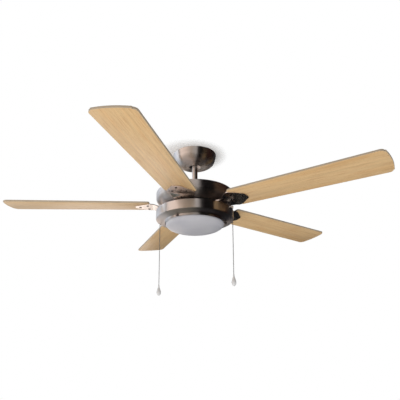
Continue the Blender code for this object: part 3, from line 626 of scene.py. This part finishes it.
def instance_tree(name, source, material):
    """Points carry a rotation; each gets a copy of the source piece."""
    tree = bpy.data.node_groups.new(name, "GeometryNodeTree")
    face = tree.interface
    face.new_socket("Geometry", in_out="INPUT", socket_type="NodeSocketGeometry")
    size = face.new_socket("Size", in_out="INPUT", socket_type="NodeSocketFloat")
    size.default_value = 1.0
    face.new_socket("Geometry", in_out="OUTPUT", socket_type="NodeSocketGeometry")
    start = node(tree, "NodeGroupInput")
    kind = "GeometryNodeInputNamedAttribute"
    turn = node(tree, kind, values={"Name": "turn"}, data_type="FLOAT_VECTOR")
    what = node(tree, "GeometryNodeObjectInfo", values={"Object": source})
    sources = {
        "Points": node(tree, "GeometryNodeMeshToPoints", {"Mesh": start.outputs["Geometry"]}),
        "Instance": what.outputs["Geometry"],
        "Rotation": turn.outputs["Attribute"],
        "Scale": start.outputs["Size"],
    }
    copies = node(tree, "GeometryNodeInstanceOnPoints", sources)
    real = node(tree, "GeometryNodeRealizeInstances", {0: copies})
    painted = node(tree, "GeometryNodeSetMaterial", {"Geometry": real}, {"Material": material})
    node(tree, "NodeGroupOutput", {0: painted})
    return tree, size.identifier


def scatter(name, source_bm, places, material, size=1.0):
    """A plain mesh with a copy of the source at each place, made by a node tree."""
    source = bpy.data.objects.new(name + "_one", mesh_of(name + "_one", source_bm))
    spots = bpy.data.meshes.new(name + "_spots")
    spots.from_pydata([tuple(m.to_translation()) for m in places], [], [])
    turns = spots.attributes.new("turn", "FLOAT_VECTOR", "POINT")
    for item, place in zip(turns.data, places):
        item.vector = place.to_euler()
    holder = bpy.data.objects.new(name + "_spots", spots)
    bpy.context.scene.collection.objects.link(holder)
    bpy.context.scene.collection.objects.link(source)
    tree, size_id = instance_tree(name, source, material)
    step = holder.modifiers.new("Copies", "NODES")
    step.node_group = tree
    step[size_id] = size
    graph = bpy.context.evaluated_depsgraph_get()
    mesh = bpy.data.meshes.new_from_object(holder.evaluated_get(graph))
    mesh.name = name
    holder.modifiers.remove(step)
    bpy.data.objects.remove(holder)
    bpy.data.objects.remove(source)
    bpy.data.node_groups.remove(tree)
    if "turn" in mesh.attributes:
        mesh.attributes.remove(mesh.attributes["turn"])
    return mesh


# ---- Shapes shared by several pieces -------------------------------------------------------------
def blade_level():
    return bottom_of("rotor_shell_lower") + sizes().blade_rise


def blade_azimuth(number):
    return sizes().first_blade + 2 * math.pi / sizes().blade_count * (number - 1)


def blade_frame(azimuth):
    """Local X along the blade, local Z square to its tilted middle plane."""
    tilt = Matrix.Rotation(-sizes().blade_pitch, 4, "X")
    return facing(azimuth) @ Matrix.Translation((0, 0, blade_level())) @ tilt


IRON_OUTLINE = [
    (0.066, 0.0340),
    (0.085, 0.0390),
    (0.105, 0.0365),
    (0.125, 0.0330),
    (0.143, 0.0415),
    (0.158, 0.0470),
    (0.175, 0.0400),
    (0.192, 0.0265),
    (0.204, 0.0185),
    (0.210, 0.0090),
]
IRON_BEND = (0.126, 0.148)  # where the sheet leaves the rotor and where it meets the blade
BLADE_SCREWS = [(0.193, -0.004), (0.163, -0.027), (0.165, 0.021)]
BASE_SCREWS = [(0.078, -0.020), (0.078, 0.020)]


def iron_half_width(u):
    """A smooth curve through the outline's points (Catmull-Rom)."""
    points = IRON_OUTLINE
    last = len(points) - 1
    i = max(k for k in range(last) if points[k][0] <= u + 1e-9)
    (u0, w0), (u1, w1) = points[i], points[i + 1]
    before, after = points[max(i - 1, 0)], points[min(i + 2, last)]
    start = (w1 - before[1]) / (u1 - before[0])
    end = (after[1] - w0) / (after[0] - u0)
    t, span = (u - u0) / (u1 - u0), u1 - u0
    hermite = (2 * t**3 - 3 * t**2 + 1) * w0 + (t**3 - 2 * t**2 + t) * span * start
    return hermite + (3 * t**2 - 2 * t**3) * w1 + (t**3 - t**2) * span * end


def iron_level(u, w):
    """Upper face of an iron: flat under the rotor, then up to the blade's underside."""
    tilt = sizes().blade_pitch
    half = sizes().blade_thickness / 2 + SEAT_GAP
    blade_face = blade_level() - half / math.cos(tilt) - w * math.tan(tilt)
    base = bottom_of("rotor_shell_lower") - SEAT_GAP
    return base + (blade_face - base) * smooth(u, *IRON_BEND)


def iron_bm(azimuth):
    """A pressed sheet with rounded edges, rounded off at its tip."""
    thickness = sizes().iron_thickness
    bm = bmesh.new()
    rows, across = 60, 20
    inner, tip = IRON_OUTLINE[0][0], IRON_OUTLINE[-1][0]
    grid = []
    for i in range(rows + 1):
        share = i / rows
        u = inner + (tip - inner) * (1 - (1 - share) ** 1.25)
        half = iron_half_width(u)
        past = max((u - tip + 0.003) / 0.0031, 0.0)
        half *= math.sqrt(max(1 - past**2, 0.0)) or 0.2
        line = []
        for j in range(across + 1):
            line.append((u, half * math.sin((2 * j / across - 1) * math.pi / 2)))
        grid.append(line)
    upper, lower = [], []
    for line in grid:
        up, down = [], []
        for u, w in line:
            z = iron_level(u, w)
            up.append(bm.verts.new((u, w, z)))
            down.append(bm.verts.new((u, w, z - thickness)))
        upper.append(up)
        lower.append(down)
    for i in range(rows):
        for j in range(across):
            bm.faces.new((upper[i][j], upper[i][j + 1], upper[i + 1][j + 1], upper[i + 1][j]))
            bm.faces.new((lower[i][j], lower[i + 1][j], lower[i + 1][j + 1], lower[i][j + 1]))
    border = [(i, 0) for i in range(rows + 1)] + [(rows, j) for j in range(1, across + 1)]
    border += [(i, across) for i in range(rows - 1, -1, -1)] + [(0, j) for j in range(across - 1, 0, -1)]
    for (i, j), (k, m) in zip(border, border[1:] + border[:1]):
        bm.faces.new((upper[i][j], upper[k][m], lower[k][m], lower[i][j]))
    rim = [e for e in bm.edges if e.is_manifold and e.calc_face_angle(0.0) > math.radians(60)]
    bmesh.ops.recalc_face_normals(bm, faces=bm.faces)
    bmesh.ops.bevel(bm, geom=rim, offset=0.0005, segments=2, affect="EDGES", clamp_overlap=True)
    return moved(bm, facing(azimuth))


def blade_outline():
    s = sizes()
    root, tip = s.root_width / 2, s.tip_width / 2
    crown, corner, root_corner = 0.008, 0.013, 0.010
    end = s.blade_tip - crown
    crown_radius = (tip**2 + crown**2) / (2 * crown)
    spread = math.degrees(math.asin((tip - corner * 0.8) / crown_radius))
    points = arc(s.blade_root + root_corner, -root + root_corner, root_corner, 180, 270, 10)
    points += arc(end - corner, -tip + corner, corner, 270, 345, 10)
    points += arc(s.blade_tip - crown_radius, 0.0, crown_radius, -spread, spread, 24)
    points += arc(end - corner, tip - corner, corner, 15, 90, 10)
    points += arc(s.blade_root + root_corner, root - root_corner, root_corner, 90, 180, 10)
    return points


def blade_mesh(number):
    """A board with eased edges. UV is metres along and across, shifted so each blade differs."""
    s = sizes()
    outline = [Vector((x, y, 0.0)) for x, y in blade_outline()]
    count = len(outline)
    outwards = []
    for i, point in enumerate(outline):
        run = (outline[(i + 1) % count] - outline[i - 1]).normalized()
        outwards.append(Vector((run.y, -run.x, 0.0)))
    ease, half = 0.0009, s.blade_thickness / 2
    levels = [(ease, -half), (ease * 0.3, -half + ease * 0.3), (0.0, -half + ease)]
    levels += [(r, -z) for r, z in reversed(levels)]
    bm = bmesh.new()
    rings = []
    for inset, z in levels:
        places = [point - out * inset for point, out in zip(outline, outwards)]
        rings.append([bm.verts.new((place.x, place.y, z)) for place in places])
    bm.faces.new(rings[0][::-1])
    bm.faces.new(rings[-1])
    for here, after in zip(rings, rings[1:]):
        for face in join(bm, here, after):
            face.material_index = 1
    layer = bm.loops.layers.uv.new("UVMap")
    for face in bm.faces:
        for loop in face.loops:
            x, y, z = loop.vert.co
            loop[layer].uv = (x + 1.37 * number, y + 0.31 * number + z)
    moved(bm, blade_frame(blade_azimuth(number)))
    mesh = mesh_of(f"blade_{number}_veneered", bm)
    mesh.materials.append(finish("beech"))
    mesh.materials.append(finish("edge"))
    return mesh


# ---- Stage settings and operators ----------------------------------------------------------
# What polished metal sees round the room, place by place: from behind (0) through the left, the
# front (0.5) and the right to behind again (1). Linear light, not colours.
STUDIO_ROUND = [
    (0.00, (0.020, 0.020, 0.022)),
    (0.010, (0.05, 0.05, 0.05)),
    (0.017, (1.00, 0.88, 0.80)),
    (0.040, (0.95, 0.84, 0.77)),
    (0.06, (0.30, 0.28, 0.28)),
    (0.09, (0.50, 0.56, 0.64)),
    (0.17, (0.76, 0.84, 0.96)),
    (0.225, (0.95, 0.97, 1.00)),
    (0.233, (0.10, 0.10, 0.10)),
    (0.250, (0.10, 0.09, 0.09)),
    (0.262, (0.98, 0.83, 0.75)),
    (0.36, (0.80, 0.66, 0.58)),
    (0.44, (0.46, 0.41, 0.37)),
    (0.530, (0.42, 0.405, 0.40)),
    (0.548, (0.005, 0.004, 0.004)),
    (0.66, (0.004, 0.004, 0.004)),
    (0.72, (0.022, 0.007, 0.005)),
    (0.79, (0.018, 0.006, 0.005)),
    (0.82, (0.004, 0.004, 0.004)),
    (0.93, (0.030, 0.030, 0.036)),
    (0.985, (0.012, 0.012, 0.013)),
    (1.00, (0.020, 0.020, 0.022)),
]
# And by height, from straight down to straight up
STUDIO_HEIGHT = [
    (0.00, (0.10, 0.11, 0.10)),
    (0.20, (0.16, 0.17, 0.15)),
    (0.30, (0.75, 0.75, 0.75)),
    (0.42, (1.00, 1.00, 1.00)),
    (0.85, (1.00, 1.00, 1.00)),
    (1.00, (0.80, 0.80, 0.80)),
]
# name, place, width, watts and tint of each lamp
LAMPS = (
    ("key", (-1.6, -1.6, -1.9), 1.4, 28.0, (1.0, 0.97, 0.94)),
    ("fill", (1.8, -1.2, -1.4), 1.6, 7.0, (0.94, 0.97, 1.0)),
    ("above", (0.4, 0.8, 1.8), 2.2, 3.0, (1.0, 1.0, 1.0)),
)
FLOOR_HEIGHT, FLOOR_SIZE = -2.4, 9.0
CEILING_GAP, CEILING_RADIUS = 0.0006, 0.34
NOZZLE_RADIUS = 0.0036


class FAN_OT_stage(bpy.types.Operator):
    """Floor, ceiling patch, light and camera"""

    bl_idname = "fan.stage"
    bl_label = "Stage"

    def execute(self, context):
        scene = context.scene
        scene.view_settings.view_transform = "Standard"
        self.floor()
        self.ceiling()
        self.sky(scene)
        self.lights(scene)
        self.camera(scene)
        return {"FINISHED"}

    def sheet(self, name, bm, height, mat):
        """A flat piece of the stage that polished metal doesn't see."""
        mesh = mesh_of(name, moved(bm, Matrix.Translation((0, 0, height))), closed=False)
        mesh.materials.append(mat)
        obj = bpy.data.objects.new(name, mesh)
        bpy.context.scene.collection.objects.link(obj)
        obj.visible_glossy = False
        return obj

    def floor(self):
        """A pale floor, seen from above only, that lights itself evenly."""
        mat, tree, shader = new_material("pale floor", "#e8e6e3", 0.7)
        shader.inputs["Emission Color"].default_value = linear("#efeeec")
        shader.inputs["Emission Strength"].default_value = 0.62
        behind = node(tree, "ShaderNodeNewGeometry").outputs["Backfacing"]
        clear = node(tree, "ShaderNodeBsdfTransparent")
        surface = tree.nodes["Material Output"].inputs["Surface"]
        node(tree, "ShaderNodeMixShader", {0: behind, 1: shader, 2: clear}, to=surface)
        bm = bmesh.new()
        bmesh.ops.create_grid(bm, x_segments=1, y_segments=1, size=FLOOR_SIZE)
        self.sheet("floor", bm, FLOOR_HEIGHT, mat).visible_diffuse = False

    def ceiling(self):
        """A patch of white ceiling, seen from below only, that fades out into the white background. The
        fade is a painted shadow round the canopy: its grey is the lit paint's own shading, and the
        off-axis mask paints how far it reaches and which way it leans.
        """
        mat = bpy.data.materials.new("white ceiling paint")
        mat.use_nodes = True
        tree = mat.node_tree
        tree.nodes.clear()
        place = node(tree, "ShaderNodeTexCoord").outputs["Object"]
        # the painted shadow's middle is set off the axis, so it leans to one side of the canopy
        shift = {1: (0.014, -0.010, 0.0)}
        shadow_centre = node(tree, "ShaderNodeVectorMath", {0: place}, shift, operation="ADD")
        radius = node(tree, "ShaderNodeVectorMath", {0: shadow_centre}, operation="LENGTH").outputs["Value"]
        # painted shadow: the lit paint's grey shows only inside this fading ring round the canopy
        span = {"From Min": 0.078, "From Max": 0.140, "To Min": 0.85, "To Max": 0.0}
        kind = "ShaderNodeMapRange"
        shadow_fade = node(tree, kind, {"Value": radius}, span, interpolation_type="SMOOTHSTEP")
        below = node(tree, "ShaderNodeNewGeometry").outputs["Backfacing"]
        shown = node(tree, "ShaderNodeMath", {0: shadow_fade, 1: below}, operation="MULTIPLY")
        clear = node(tree, "ShaderNodeBsdfTransparent")
        paint = node(tree, "ShaderNodeBsdfDiffuse", values={"Color": linear("#ffffff")})
        both = node(tree, "ShaderNodeMixShader", {0: shown, 1: clear, 2: paint})
        node(tree, "ShaderNodeOutputMaterial", {"Surface": both})
        bm = bmesh.new()
        bmesh.ops.create_circle(bm, cap_ends=True, segments=96, radius=CEILING_RADIUS)
        self.sheet("ceiling_patch", bm, CEILING_GAP, mat).visible_shadow = False

    def sky(self, scene):
        """A white studio; shiny metal sees a bright side on the left and a dark one on the right."""
        world = bpy.data.worlds.new("studio")
        scene.world = world
        world.use_nodes = True
        tree = world.node_tree
        tree.nodes.clear()
        way = node(tree, "ShaderNodeTexCoord").outputs["Generated"]
        part = node(tree, "ShaderNodeSeparateXYZ", {0: way}).outputs
        front = node(tree, "ShaderNodeMath", {0: part["Y"]}, {1: -1.0}, operation="MULTIPLY")
        azimuth = node(tree, "ShaderNodeMath", {0: part["X"], 1: front}, operation="ARCTAN2")
        span = {"From Min": -math.pi, "From Max": math.pi}
        turn = node(tree, "ShaderNodeMapRange", {"Value": azimuth}, span)
        around = node(tree, "ShaderNodeValToRGB", {"Fac": turn}, stops=STUDIO_ROUND)
        span = {"From Min": -1.0, "From Max": 1.0}
        height = node(tree, "ShaderNodeMapRange", {"Value": part["Z"]}, span)
        up = node(tree, "ShaderNodeValToRGB", {"Fac": height}, stops=STUDIO_HEIGHT)
        product = {"data_type": "RGBA", "blend_type": "MULTIPLY"}
        seen = node(tree, "ShaderNodeMix", {6: around, 7: up}, {0: 1.0}, **product).outputs[2]
        glossy = node(tree, "ShaderNodeBackground", {"Color": seen}, {"Strength": 1.6})
        span = {"From Min": -0.2, "From Max": 0.3, "To Min": 0.60, "To Max": 0.26}
        level = node(tree, "ShaderNodeMapRange", {"Value": part["Z"]}, span)
        tint = {"Color": (0.98, 0.99, 1.0, 1.0)}
        soft = node(tree, "ShaderNodeBackground", {"Strength": level}, tint)
        plain = {"Color": linear("#ffffff"), "Strength": 1.0}
        white = node(tree, "ShaderNodeBackground", values=plain)
        rays = node(tree, "ShaderNodeLightPath").outputs
        first = node(tree, "ShaderNodeMixShader", {0: rays["Is Glossy Ray"], 1: soft, 2: glossy})
        both = node(tree, "ShaderNodeMixShader", {0: rays["Is Camera Ray"], 1: first, 2: white})
        node(tree, "ShaderNodeOutputWorld", {"Surface": both})

    def lights(self, scene):
        for name, place, size, power, tint in LAMPS:
            data = bpy.data.lights.new(name, "AREA")
            data.shape = "DISK"
            data.size = size
            data.energy = power
            data.color = tint
            lamp = bpy.data.objects.new(name, data)
            lamp.location = place
            aim = Vector((0, 0, -0.2)) - Vector(place)
            lamp.rotation_euler = aim.to_track_quat("-Z", "Y").to_euler()
            lamp.visible_camera = False
            lamp.visible_glossy = False
            scene.collection.objects.link(lamp)

    def camera(self, scene):
        """Below the fan and in front of it, looking up 13 degrees."""
        data = bpy.data.cameras.new("camera")
        data.lens = 40.59
        data.sensor_width = 36.0
        data.shift_x = 0.013
        data.shift_y = 0.15
        view = bpy.data.objects.new("camera", data)
        view.location = (0.0, -1.5168, -0.7488)
        view.rotation_euler = (math.radians(90.0 + 13.25), 0.0, 0.0)
        scene.collection.objects.link(view)
        scene.camera = view


class FAN_OT_canopy(bpy.types.Operator):
    """Spun canopy bowl with a lip round its hole, and its two screws"""

    bl_idname = "fan.canopy"
    bl_label = "Canopy"

    def execute(self, context):
        s = sizes()
        radius, drop = radius_of("canopy"), s.canopy_height
        # an upright skirt, then a squared quarter turn in to the floor and the lip round the hole
        points = [(radius, -0.0006), (radius * 0.986, -0.19 * drop)]
        waist, floor, start, steps = radius * 0.955, radius * 0.45, -0.36 * drop, 20
        for i in range(steps + 1):
            a = math.radians(90.0 * i / steps)
            z = start + (-drop + 0.0015 - start) * math.sin(a) ** 1.15
            points.append((floor + (waist - floor) * math.cos(a) ** 0.9, z))
        points += [(s.canopy_hole + 0.0012, -drop + 0.0002), (s.canopy_hole, -drop + 0.0010)]
        shell = walled(rounded(points, 0.004), s.sheet * 0.8)
        spun("canopy_bowl", shell, "canopy", body="ceiling_mount")
        places = []
        names = ["canopy_screw_1", "canopy_screw_2"]
        for name in names:
            out = outwards_of(name)
            seat = out * (radius * 0.985 + 0.0010) + Vector((0, 0, middle_of(name).z))
            places.append(Matrix.Translation(seat) @ out.to_track_quat("Z", "Y").to_matrix().to_4x4())
        mesh = scatter("canopy_screws", screw_bm(0.009), places, finish("screw"))
        settle(mesh, "ceiling_mount", names)
        return {"FINISHED"}


class FAN_OT_rod(bpy.types.Operator):
    """Downrod and the cover over its coupling"""

    bl_idname = "fan.rod"
    bl_label = "Downrod"

    def execute(self, context):
        radius, top, bottom = radius_of("downrod"), top_of("downrod"), bottom_of("downrod")
        ease, wall = 0.0005, 0.002
        tube = [(radius - ease, top), (radius, top - ease), (radius, bottom + ease)]
        tube += [(radius - ease, bottom), (radius - wall, bottom), (radius - wall, top)]
        spun("downrod_tube", tube, "downrod", turns=64)
        low, high = bottom_of("coupling_cover"), top_of("coupling_cover")
        foot, neck = radius_of("coupling_cover"), 0.0156
        outer = [(neck - 0.0008, high), (neck, high - 0.0004), (neck + 0.0026, high - 0.005)]
        outer += [(neck + 0.0065, low + 0.0085), (foot - 0.0022, low + 0.0036), (foot, low + 0.001)]
        outer.append((foot, low))
        shell = walled(rounded(outer, 0.004), 0.0008)
        spun("coupling_cover_spun", shell, "coupling_cover", turns=96)
        return {"FINISHED"}


class FAN_OT_housing(bpy.types.Operator):
    """Upper housing: deck with a pressed ring, rim, band and bowl"""

    bl_idname = "fan.housing"
    bl_label = "Upper housing"

    def execute(self, context):
        s = sizes()
        rim, top = radius_of("upper_housing"), top_of("upper_housing")
        drop, rim_z = s.rim_drop, top - s.rim_drop
        band_z = rim_z - s.band_height
        bowl = band_z - bottom_of("upper_housing")
        hole, flat = 0.0138, 0.024
        # the deck with its pressed ring, then the rounded rim and the band
        points = [(hole, top), (flat, top), (rim * 0.34, top - drop * 0.16)]
        points += [(rim * 0.36, top - drop * 0.21), (rim * 0.39, top - drop * 0.21)]
        points += [(rim * 0.72, top - drop * 0.56), (rim - 0.008, rim_z + 0.0042)]
        points += [(rim - 0.002, rim_z + 0.0012), (rim, rim_z - 0.0012), (rim, band_z + 0.0012)]
        points.append((rim - 0.0008, band_z))
        steps = 22
        for i in range(1, steps + 1):
            a = math.radians(90.0 * i / steps)
            points.append((s.opening + (rim - s.opening) * math.cos(a), band_z - bowl * math.sin(a)))
        shell = walled(rounded(points, 0.0022, 3), s.sheet)
        spun("upper_housing_spun", shell, "upper_housing")
        return {"FINISHED"}


class FAN_OT_pan(bpy.types.Operator):
    """Light pan with its collar, the frosted shade and the thumbscrews"""

    bl_idname = "fan.pan"
    bl_label = "Light pan and shade"

    def execute(self, context):
        s = sizes()
        self.pan(s)
        self.shade(s)
        for number in (1, 2, 3):
            self.thumbscrew(s, f"thumbscrew_{number}")
        return {"FINISHED"}

    def pan(self, s):
        r, e = radius_of("light_pan"), s.pan_edge
        top, low = top_of("light_pan"), bottom_of("light_pan")
        foot, ledge, hole = top - s.pan_height, low + s.collar_height, 0.0078
        points = [(hole, top)]
        points += arc(r - e, top - e, e, 90, 0, 10)
        points += arc(r - e, foot + e, e, 0, -70, 10)
        step = [(s.collar + 0.006, ledge + 0.0012), (s.collar + 0.0008, ledge + 0.0002)]
        step += [(s.collar, ledge - 0.0016), (s.collar, low + 0.0006)]
        points += rounded(step, 0.0012)
        points.append((s.collar - 0.0005, low))
        pan = spun("light_pan_spun", walled(points, s.sheet * 0.9), "light_pan")
        # the slot that the reversing knob slides in
        middle, play, deep = middle_of("reverse_knob"), 4 * SEAT_GAP, 0.012
        turn = facing(math.atan2(middle.x, -middle.y))
        across = (turn.inverted() @ middle).y + s.knob_travel / 2
        shape = Matrix.Diagonal((deep, s.knob[0] + s.knob_travel + play, s.knob[1] + play, 1.0))
        bm = bmesh.new()
        bmesh.ops.create_cube(bm, size=1.0)
        cut(pan, moved(bm, turn @ Matrix.Translation((r, across, middle.z)) @ shape))

    def shade(self, s):
        r, top, low = radius_of("glass_shade"), top_of("glass_shade"), bottom_of("glass_shade")
        knee, wall, steps = bottom_of("light_pan") - 0.0012, s.glass_wall, 28
        outer = [(r - 0.001, top), (r, top - 0.001), (r, knee)]
        for i in range(1, steps):
            a = math.radians(90.0 * i / steps)
            outer.append((r * math.cos(a) ** 0.72, knee - (knee - low) * math.sin(a) ** 1.1))
        inner = [(x - wall, z + wall * min(1.0, 1.2 - x / r)) for x, z in outer[3:]]
        inner = [(r - wall, top), (r - wall, knee)] + [p for p in inner if p[0] > 0.004]
        section = outer + [(0.0, low), (0.0, low + wall)] + inner[::-1]
        piece("shade_opal", lathe(section, TURNS), BODY, finish("glass"), ["glass_shade"])

    def thumbscrew(self, s, name):
        out, turns = outwards_of(name), 48
        start, shoulder = radius_of("glass_shade") + 0.0003, s.collar + 0.0010
        end, head, shank = shoulder + 0.006, SCREW_HEAD, 0.0019
        # radius, distance from the axis, and whether the ring is knurled
        profile = [(shank, start, False), (shank, shoulder, False), (head * 0.86, shoulder, False)]
        profile += [(head, shoulder + 0.0007, True), (head, end - 0.0009, True)]
        profile += [(head * 0.84, end, False), (head * 0.5, end, False)]
        profile.append((head * 0.42, end - 0.0005, False))
        bm = bmesh.new()
        rings = []
        for radius, x, knurled in profile:
            ring = []
            for i in range(turns):
                a = 2 * math.pi * i / turns
                r = radius * (0.93 if knurled and i % 2 else 1.0)
                ring.append(bm.verts.new((x, r * math.cos(a), r * math.sin(a))))
            rings.append(ring)
        for here, after in zip(rings, rings[1:]):
            join(bm, here, after)
        bm.faces.new(rings[0])
        bm.faces.new(rings[-1])
        turn = Matrix.Rotation(math.atan2(out.y, out.x), 4, "Z")
        moved(bm, Matrix.Translation((0, 0, middle_of(name).z)) @ turn)
        piece(f"{name}_knurled", bm, BODY, finish("screw"), [name], sharp=28.0)


class FAN_OT_blades(bpy.types.Operator):
    """Veneered blades, pressed irons and all their screws"""

    bl_idname = "fan.blades"
    bl_label = "Blades and irons"

    def execute(self, context):
        s = sizes()
        screws, replaced = [], []
        flip = Matrix.Rotation(math.pi, 4, "X")
        under = -s.blade_thickness / 2 - 2 * SEAT_GAP - s.iron_thickness * 1.01
        base = bottom_of("rotor_shell_lower") - 2 * SEAT_GAP - s.iron_thickness
        for number in range(1, s.blade_count + 1):
            azimuth = blade_azimuth(number)
            settle(blade_mesh(number), "rotor", [f"blade_{number}"])
            iron = f"blade_iron_{number}"
            # the irons' nickel is painted lighter than the shells' nickel
            piece(f"{iron}_pressed", iron_bm(azimuth), "rotor", finish("pressed"), [iron])
            for letter, (u, w) in zip("abc", BLADE_SCREWS):
                screws.append(blade_frame(azimuth) @ Matrix.Translation((u, w, under)) @ flip)
                replaced.append(f"blade_screw_{number}{letter}")
            for u, w in BASE_SCREWS:
                screws.append(facing(azimuth) @ Matrix.Translation((u, w, base)) @ flip)
        mesh = scatter("blade_screws", screw_bm(0.0066), screws, finish("screw"))
        settle(mesh, "rotor", replaced)
        return {"FINISHED"}


class FAN_OT_chains(bpy.types.Operator):
    """Bead chains, their pear handles and elbow nozzles"""

    bl_idname = "fan.chains"
    bl_label = "Pull chains"

    def execute(self, context):
        for name in ("speed", "light"):
            self.chain(name)
            self.nozzle(name)
        return {"FINISHED"}

    def handle(self, name):
        """A turned pear: a narrow collar, a long swell and a round end."""
        node_name = f"{name}_handle"
        middle, top, low = middle_of(node_name), top_of(node_name), bottom_of(node_name)
        height, neck, widest = top - low, 0.0027, 0.0078
        collar, swell, end = 0.10, 0.58, 0.32
        profile = [(0.0, top), (0.0019, top), (0.0024, top - 0.0006), (neck, top - collar * height)]
        steps = 18
        for i in range(1, steps + 1):
            t = i / steps
            radius = neck + (widest - neck) * smooth(t, 0.0, 1.0)
            profile.append((radius, top - (collar + swell * t) * height))
        steps = 14
        for i in range(1, steps):
            a = math.radians(90.0 * i / steps)
            profile.append((widest * math.cos(a), top - (1 - end + end * math.sin(a)) * height))
        profile.append((0.0, low))
        bm = moved(lathe(profile, 48), Matrix.Translation((middle.x, middle.y, 0.0)))
        white = finish("white")
        return piece(f"{node_name}_turned", bm, f"{name}_pull", white, [node_name])

    def chain(self, name):
        s = sizes()
        node_name = f"{name}_chain"
        middle, top, low = middle_of(node_name), top_of(node_name), bottom_of(node_name)
        count = int((top - low - s.bead) / s.bead_pitch)
        pitch = (top - low - s.bead) / count
        heights = [top - s.bead / 2 - pitch * i for i in range(count + 1)]
        beads = [Matrix.Translation((middle.x, middle.y, z)) for z in heights]
        links = [Matrix.Translation((middle.x, middle.y, z - pitch / 2)) for z in heights[:-1]]
        wire = 0.28
        bead = lathe([(0.0, 1.0)] + arc(0.0, 0.0, 1.0, 60, -60, 4) + [(0.0, -1.0)], 12)
        link = lathe([(0.0, 0.5), (wire, 0.5), (wire, -0.5), (0.0, -0.5)], 6)
        moved(bead, Matrix.Scale(s.bead / 2, 4))
        moved(link, Matrix.Diagonal((s.bead / 2, s.bead / 2, s.bead_pitch, 1.0)))
        joined = bmesh.new()
        joined.from_mesh(scatter(f"{name}_beads", bead, beads, finish("nickel")))
        joined.from_mesh(scatter(f"{name}_links", link, links, finish("nickel")))
        mesh = mesh_of(f"{name}_bead_chain", joined, closed=False)
        chain = settle(mesh, f"{name}_pull", [node_name], finish("nickel"), 50.0)
        knob = self.handle(name)

    def nozzle(self, name):
        """A turned elbow with a hexagon against the pan's wall and a flared mouth."""
        node_name = f"{name}_nozzle"
        centre, mouth = middle_of(f"{name}_chain"), bottom_of(node_name)
        out = Vector((centre.x, centre.y, 0.0))
        r, bore = NOZZLE_RADIUS, sizes().bead / 2 + 0.0005
        axis_z = top_of(node_name) - r * 1.06
        post = [(bore, mouth), (r * 0.90, mouth), (r * 1.02, mouth + 0.0005)]
        post += [(r * 1.02, mouth + 0.0016), (r * 0.86, mouth + 0.0022), (r * 0.90, axis_z)]
        post += arc(0.0, axis_z, r * 1.04, 0, 84, 7)
        post += [(0.0, axis_z + r * 1.04), (0.0, axis_z + 0.0012), (bore, axis_z)]
        bm = moved(lathe(post, 32), Matrix.Translation(out))
        wall, end = radius_of("light_pan"), out.length - bore - SEAT_GAP
        azimuth = math.atan2(centre.x, -centre.y)
        lay = facing(azimuth) @ Matrix.Translation((0, 0, axis_z)) @ Matrix.Rotation(math.pi / 2, 4, "Y")
        # the arm into the wall, and the nut: inner end, outer end, radius and sides
        for start, stop, radius, sides in (
            (wall - 0.002, end, r * 0.97, 32),
            (wall, wall + 0.0022, r * 1.35, 6),
        ):
            part = lathe([(0.0, start), (radius, start), (radius, stop), (0.0, stop)], sides)
            spare = mesh_of("part", moved(part, lay), closed=False)
            bm.from_mesh(spare)
            bpy.data.meshes.remove(spare)
        # the nozzles' nickel is painted lighter as a highlight
        piece(f"{node_name}_turned", bm, BODY, finish("bright"), [node_name])


# finishes of the CAD pieces that stay as they are, hidden inside or plain
KEPT = {
    "zinc": ["hanger_bracket", "hanger_pin", "coupling_pin", "motor_shaft", "shaft_nut"],
    "nickel": ["bearing_upper", "bearing_lower"],
    "cast": ["rotor_shell_upper", "rotor_shell_lower"],
    "core": ["stator_core"],
    "copper": ["stator_windings"],
    "white": ["led_module"],
    "black": ["hanger_ball", "speed_switch", "light_switch", "reverse_switch", "reverse_knob"],
}


class FAN_OT_inside(bpy.types.Operator):
    """Finishes of the bracket, the motor and the switches"""

    bl_idname = "fan.inside"
    bl_label = "Bracket, motor and switches"

    def execute(self, context):
        for key, names in KEPT.items():
            for name in names:
                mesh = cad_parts[name].data
                mesh.materials.clear()
                mesh.materials.append(finish(key))
        return {"FINISHED"}


class FAN_PT_looks(bpy.types.Panel):
    """Sidebar list of the fan's pieces"""

    bl_idname = "FAN_PT_looks"
    bl_label = "Ceiling fan"
    bl_space_type = "VIEW_3D"
    bl_region_type = "UI"
    bl_category = "Ceiling Fan"

    def draw(self, context):
        layout = self.layout
        for operator in OPERATORS:
            layout.operator(operator.bl_idname)
        for group in (context.scene.fan_sizes, context.scene.fan_colours):
            column = layout.column(align=True)
            for name in group.__annotations__:
                column.prop(group, name)


OPERATORS = (
    FAN_OT_stage,
    FAN_OT_canopy,
    FAN_OT_rod,
    FAN_OT_housing,
    FAN_OT_pan,
    FAN_OT_blades,
    FAN_OT_chains,
    FAN_OT_inside,
)


def register():
    for cls in (FanSizes, FanColours, *OPERATORS, FAN_PT_looks):
        bpy.utils.register_class(cls)
    bpy.types.Scene.fan_sizes = PointerProperty(type=FanSizes)
    bpy.types.Scene.fan_colours = PointerProperty(type=FanColours)


def unregister():
    del bpy.types.Scene.fan_colours
    del bpy.types.Scene.fan_sizes
    for cls in reversed((FanSizes, FanColours, *OPERATORS, FAN_PT_looks)):
        bpy.utils.unregister_class(cls)


def main():
    register()
    bpy.ops.fan.stage()
    bpy.ops.fan.canopy()
    bpy.ops.fan.rod()
    bpy.ops.fan.housing()
    bpy.ops.fan.pan()
    bpy.ops.fan.blades()
    bpy.ops.fan.chains()
    bpy.ops.fan.inside()


if __name__ == "__main__":
    main()
